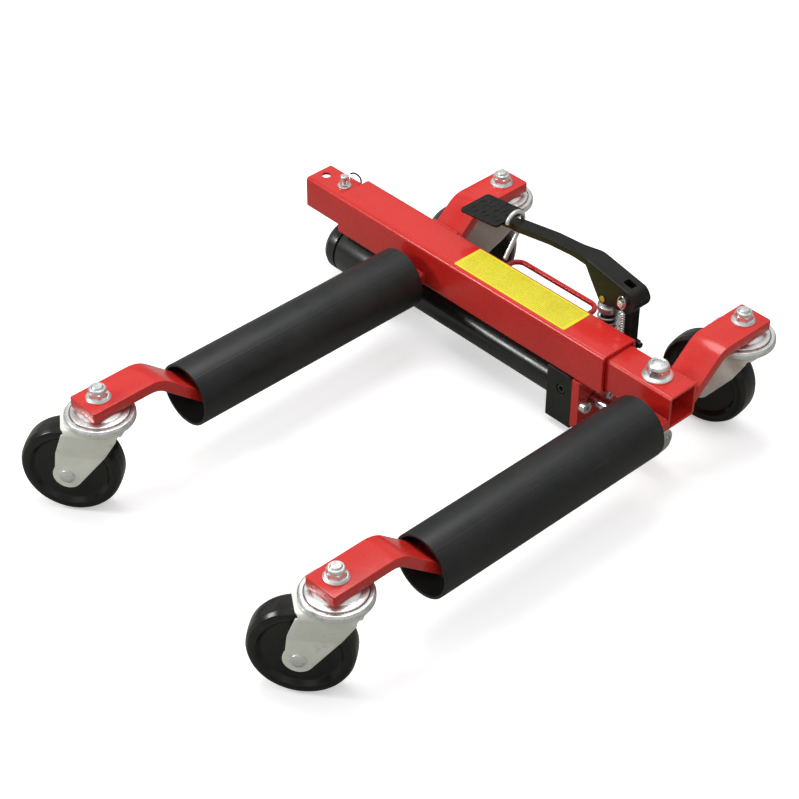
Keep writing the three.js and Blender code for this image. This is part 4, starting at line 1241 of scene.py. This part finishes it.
def lever_ring(x):
    half, z0, z1 = lever_half(x), lever_bottom(x), lever_top(x)
    height = max(z1 - z0, 0.5)
    upper, lower = min(1.5, height * 0.45), min(0.9, height * 0.3)
    ring = []
    for sy, zc, r, quarter in ((1, z1, upper, 0), (-1, z1, upper, 1), (-1, z0, lower, 2), (1, z0, lower, 3)):
        sz = -1 if quarter < 2 else 1
        for k in range(6):
            a = (quarter + k / 5) * math.pi / 2
            ring.append(at(x, LEVER_Y + sy * (half - r) + r * math.cos(a), zc + sz * r + r * math.sin(a)))
    return ring


def stud(x, y, turn):
    """One raised lozenge of the tread, on a pad whose top is at local height zero."""
    rings = []
    for scale, h in ((1.0, -0.3), (0.94, 0.5), (0.66, 1.15)):
        ring = []
        for k in range(14):
            a = TAU * k / 14
            u, v = 3.9 * math.cos(a) * scale, 1.75 * math.sin(a) * abs(math.sin(a)) ** 0.35 * scale
            ring.append(Vector((x + u * math.cos(turn) - v * math.sin(turn),
                                y + u * math.sin(turn) + v * math.cos(turn), h)) * MM)
        rings.append(ring)
    return loft(rings)


def foot_pad():
    length, width, thick = 57, 44.5, 4.5
    shell = Shell()
    rings = []
    for inset, h in ((1.6, -thick), (0.5, -thick + 0.7), (0, -thick + 1.6), (0, -0.9), (0.35, -0.3), (1.0, 0)):
        ring = rounded_rect(length - 2 * inset, width - 2 * inset, 4.6 - inset, 7)
        rings.append([Vector((a, b, h + thick / 2)) * MM for a, b in ring])
    pad = loft(rings)
    shell.add(pad.verts, pad.faces)
    for row in range(6):
        for col in range(5):
            x = -21 + row * 8.4
            y = -15.2 + col * 7.6 + (1.9 if row % 2 else -1.9)
            lump = stud(x, y, math.radians(38 if (row + col) % 2 else -38))
            shell.add([v + Vector((0, 0, thick / 2)) * MM for v in lump.verts], lump.faces)
    place = Matrix.Translation(at(171.7, 48.5, 156.2)) @ Matrix.Rotation(-0.1, 4, "Y")
    return Shell().add(shell.verts, shell.faces, place)


def build_pedal():
    stations = [196 + 4 * k for k in range(26)] + [300 + 2.5 * k for k in range(17)]
    stations += [342 + 1.4 * k for k in range(26)]
    stations += [PIVOT_X + NOSE_R * math.sin(math.radians(a)) for a in (4, 14, 24, 34, 44, 54, 63, 71, 78, 84, 88)]
    arm = loft([lever_ring(x) for x in stations])
    skin = 3
    hollow = [(331, 120), (331, 172.3, 3), (383, 161.4, 4), (388.6, 157, 3), (390, 152, 2), (390, 120)]
    arm = cut(arm, plate_xz(hollow, LEVER_Y - 13 + skin, LEVER_Y + 13 - skin),
              bore("y", 4.3, 379, 30, 152, 34), bore("y", 4.1, 350, 30, 140.5, 34), soft_block((368.5, 42.2, 153), (381, 51.8, 180), 2))
    rib = soft_block((193, 41.5, 153.2), (206, 52.5, 159.6), 1.6)
    make("pedal_lever_casting", joined(arm, foot_pad(), rib), "pedal", LEVER, "pedal_lever",
         weighted=True)


def build_hook():
    x, y, z, bend, r = 208, 47, 160.5, 12.5, 2.6
    start, stop = math.pi * 0.90, -0.6
    points = []
    for k in range(33):
        a = start + (stop - start) * k / 32
        points.append(Vector((x, y + bend * math.cos(a), z + bend * math.sin(a))))
    down = Vector((0, math.sin(stop), -math.cos(stop)))
    points += [points[-1] + down * s for s in (6, 14, 24, 34, 42)]
    shell = domed_wire([at(*p) for p in points], r * MM, 20)
    make("hold_down_wire", shell, "hold_down_hook", PLATED, "hold_down_hook")


# ---------- lock pin ----------
def build_lock_pin():
    x, z = -15.4, 120
    pin = [(0, 77), (2.8, 77), (4.6, 80.5), (4.6, z), (7.8, z, 0.3), (7.8, z + 1.7, 0.4), (4, z + 2.1, 0.6),
           (2.6, z + 3.4, 0.8), (2.5, z + 6.4, 0.8), (3.6, z + 7.4, 0.5), (4.8, z + 7.8, 0.5), (4.8, z + 13, 1),
           (4, z + 14, 0.5), (0, z + 14.1)]
    make("lock_pin_body", lathe(pin, (x, 0, 0), Z_AXIS, 48), "lock_pin", PLATED, "lock_pin")
    points = []
    for k in range(73):
        a = TAU * 2 * k / 72
        lift = 0.75 * (k / 72 - 0.5)
        u, v = 6.4 * math.cos(a), 6.4 * math.sin(a)
        points.append(at(x + u, 1 + (v - lift) * math.cos(math.pi / 4), z + 7.4 + (v + lift) * math.sin(math.pi / 4)))
    make("lock_pin_split_ring", domed_wire(points, 0.62 * MM, 10), "lock_pin", STEEL, "lock_pin_ring")
    path = [(x + 0.5, 9.4, z + 12.4), (x + 1, 13, z + 12), (x + 2.5, 18, z + 8), (x + 4, 21.6, z + 1),
            (x + 3, 21.8, z - 9), (x - 2, 21.4, z - 17), (x - 8, 21.2, z - 19)]
    shell = domed_wire(smooth_path([at(*p) for p in path], 8), 1.0 * MM, 12)
    make("lanyard_cord", shell, CORD_BODY, black_cord(), "lanyard")


BRASS = brass()
BLOCK = cast_black("block_enamel", (0.010, 0.011, 0.009), 0.15)
LEVER = cast_black("lever_enamel", (0.006, 0.006, 0.005), 0.45)
CORD_BODY = frame["nodes"]["lanyard"]["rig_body"]

build_beam()
for which, rider in (("left", "fixed_frame"), ("right", "sliding_frame")):
    build_front_arm(which, rider)
    build_rear_arm(which, rider)
    build_roller(which)
    for end in ("front", "rear"):
        build_castor(f"{which}_{end}", rider)
build_handle()
build_label()
build_ram()
build_block()
build_clamp_bolt()
build_post()
build_plunger()
build_pedal()
build_hook()
build_lock_pin()


# ---------- studio ----------
def floor():
    half, z = 6.0, -0.0005
    shell = Shell().add([(-half, -half, z), (half, -half, z), (half, half, z), (-half, half, z)], [(0, 1, 2, 3)])
    mesh = bpy.data.meshes.new("studio_floor")
    mesh.from_pydata([tuple(v) for v in shell.verts], [], shell.faces)
    mesh.materials.append(pale_floor())
    ob = bpy.data.objects.new("studio_floor", mesh)
    bpy.context.scene.collection.objects.link(ob)


def area_light(name, place, target, width, power, tone=(1, 1, 1)):
    data = bpy.data.lights.new(name, "AREA")
    data.shape = "DISK"
    data.size = width
    data.energy = power
    data.color = tone
    ob = bpy.data.objects.new(name, data)
    ob.matrix_world = frame_matrix(place, Vector(place) - Vector(target))
    bpy.context.scene.collection.objects.link(ob)


def soft_sky():
    """White to the camera, an even soft box to diffuse light, and patchy soft boxes in reflections."""
    world = bpy.data.worlds.new("studio_world")
    world.use_nodes = True
    tree = world.node_tree
    back = tree.nodes["Background"]
    new, link = tree.nodes.new, tree.links.new
    split, where, path = new("ShaderNodeSeparateXYZ"), new("ShaderNodeTexCoord"), new("ShaderNodeLightPath")
    link(where.outputs["Generated"], split.inputs[0])

    def map_range(source, limits):
        node = new("ShaderNodeMapRange")
        for i, v in enumerate(limits):
            node.inputs[i + 1].default_value = v
        link(source, node.inputs[0])
        return node.outputs[0]

    def choose(factor, low_value, high_value):
        node = new("ShaderNodeMix")
        link(factor, node.inputs[0])
        for slot, value in ((2, low_value), (3, high_value)):
            if isinstance(value, float):
                node.inputs[slot].default_value = value
            else:
                link(value, node.inputs[slot])
        return node.outputs[0]

    patches = new("ShaderNodeTexNoise")
    patches.inputs["Scale"].default_value = 2.3
    patches.inputs["Detail"].default_value = 0.0
    link(where.outputs["Generated"], patches.inputs["Vector"])
    product = new("ShaderNodeMath")
    product.operation = "MULTIPLY"
    link(map_range(split.outputs["Z"], GLOSS_RAMP), product.inputs[0])
    link(map_range(patches.outputs[0], PATCH_RAMP), product.inputs[1])
    sky = choose(path.outputs["Is Glossy Ray"], map_range(split.outputs["Z"], SKY_RAMP), product.outputs[0])
    link(choose(path.outputs["Is Camera Ray"], sky, 1.0), back.inputs["Strength"])
    back.inputs["Color"].default_value = (1, 1, 1, 1)
    return world


SKY_RAMP = (-0.05, 0.85, 0.16, 0.80)
GLOSS_RAMP = (-0.05, 0.80, 0.26, 0.80)
PATCH_RAMP = (0.42, 0.58, 0.40, 1.15)


def studio():
    floor()
    area_light("overhead_light", (-0.5, 0.3, 2.4), (0, 0, 0.1), 1.4, 28)
    area_light("side_light", (-1.6, -2.0, 1.5), (0, 0, 0.1), 0.7, 24)
    bpy.context.scene.world = soft_sky()
    bpy.context.scene.view_settings.view_transform = "Standard"


def camera():
    az, el, roll = (math.radians(v) for v in (46.62, 38.83, 0.309))
    ahead = Vector((-math.sin(az) * math.cos(el), math.cos(az) * math.cos(el), -math.sin(el)))
    right = Vector((math.cos(az), math.sin(az), 0))
    up = right.cross(ahead)
    side = right * math.cos(roll) + up * math.sin(roll)
    top = up * math.cos(roll) - right * math.sin(roll)
    data = bpy.data.cameras.new("studio_camera")
    data.lens = 100.92
    data.sensor_width = 36.0
    data.clip_end = 50
    ob = bpy.data.objects.new("studio_camera", data)
    turn = Matrix((side, top, -ahead)).transposed().to_4x4()
    ob.matrix_world = Matrix.Translation(at(1579.5, -1419.35, 1526.65)) @ turn
    bpy.context.scene.collection.objects.link(ob)
    bpy.context.scene.camera = ob


studio()
camera()
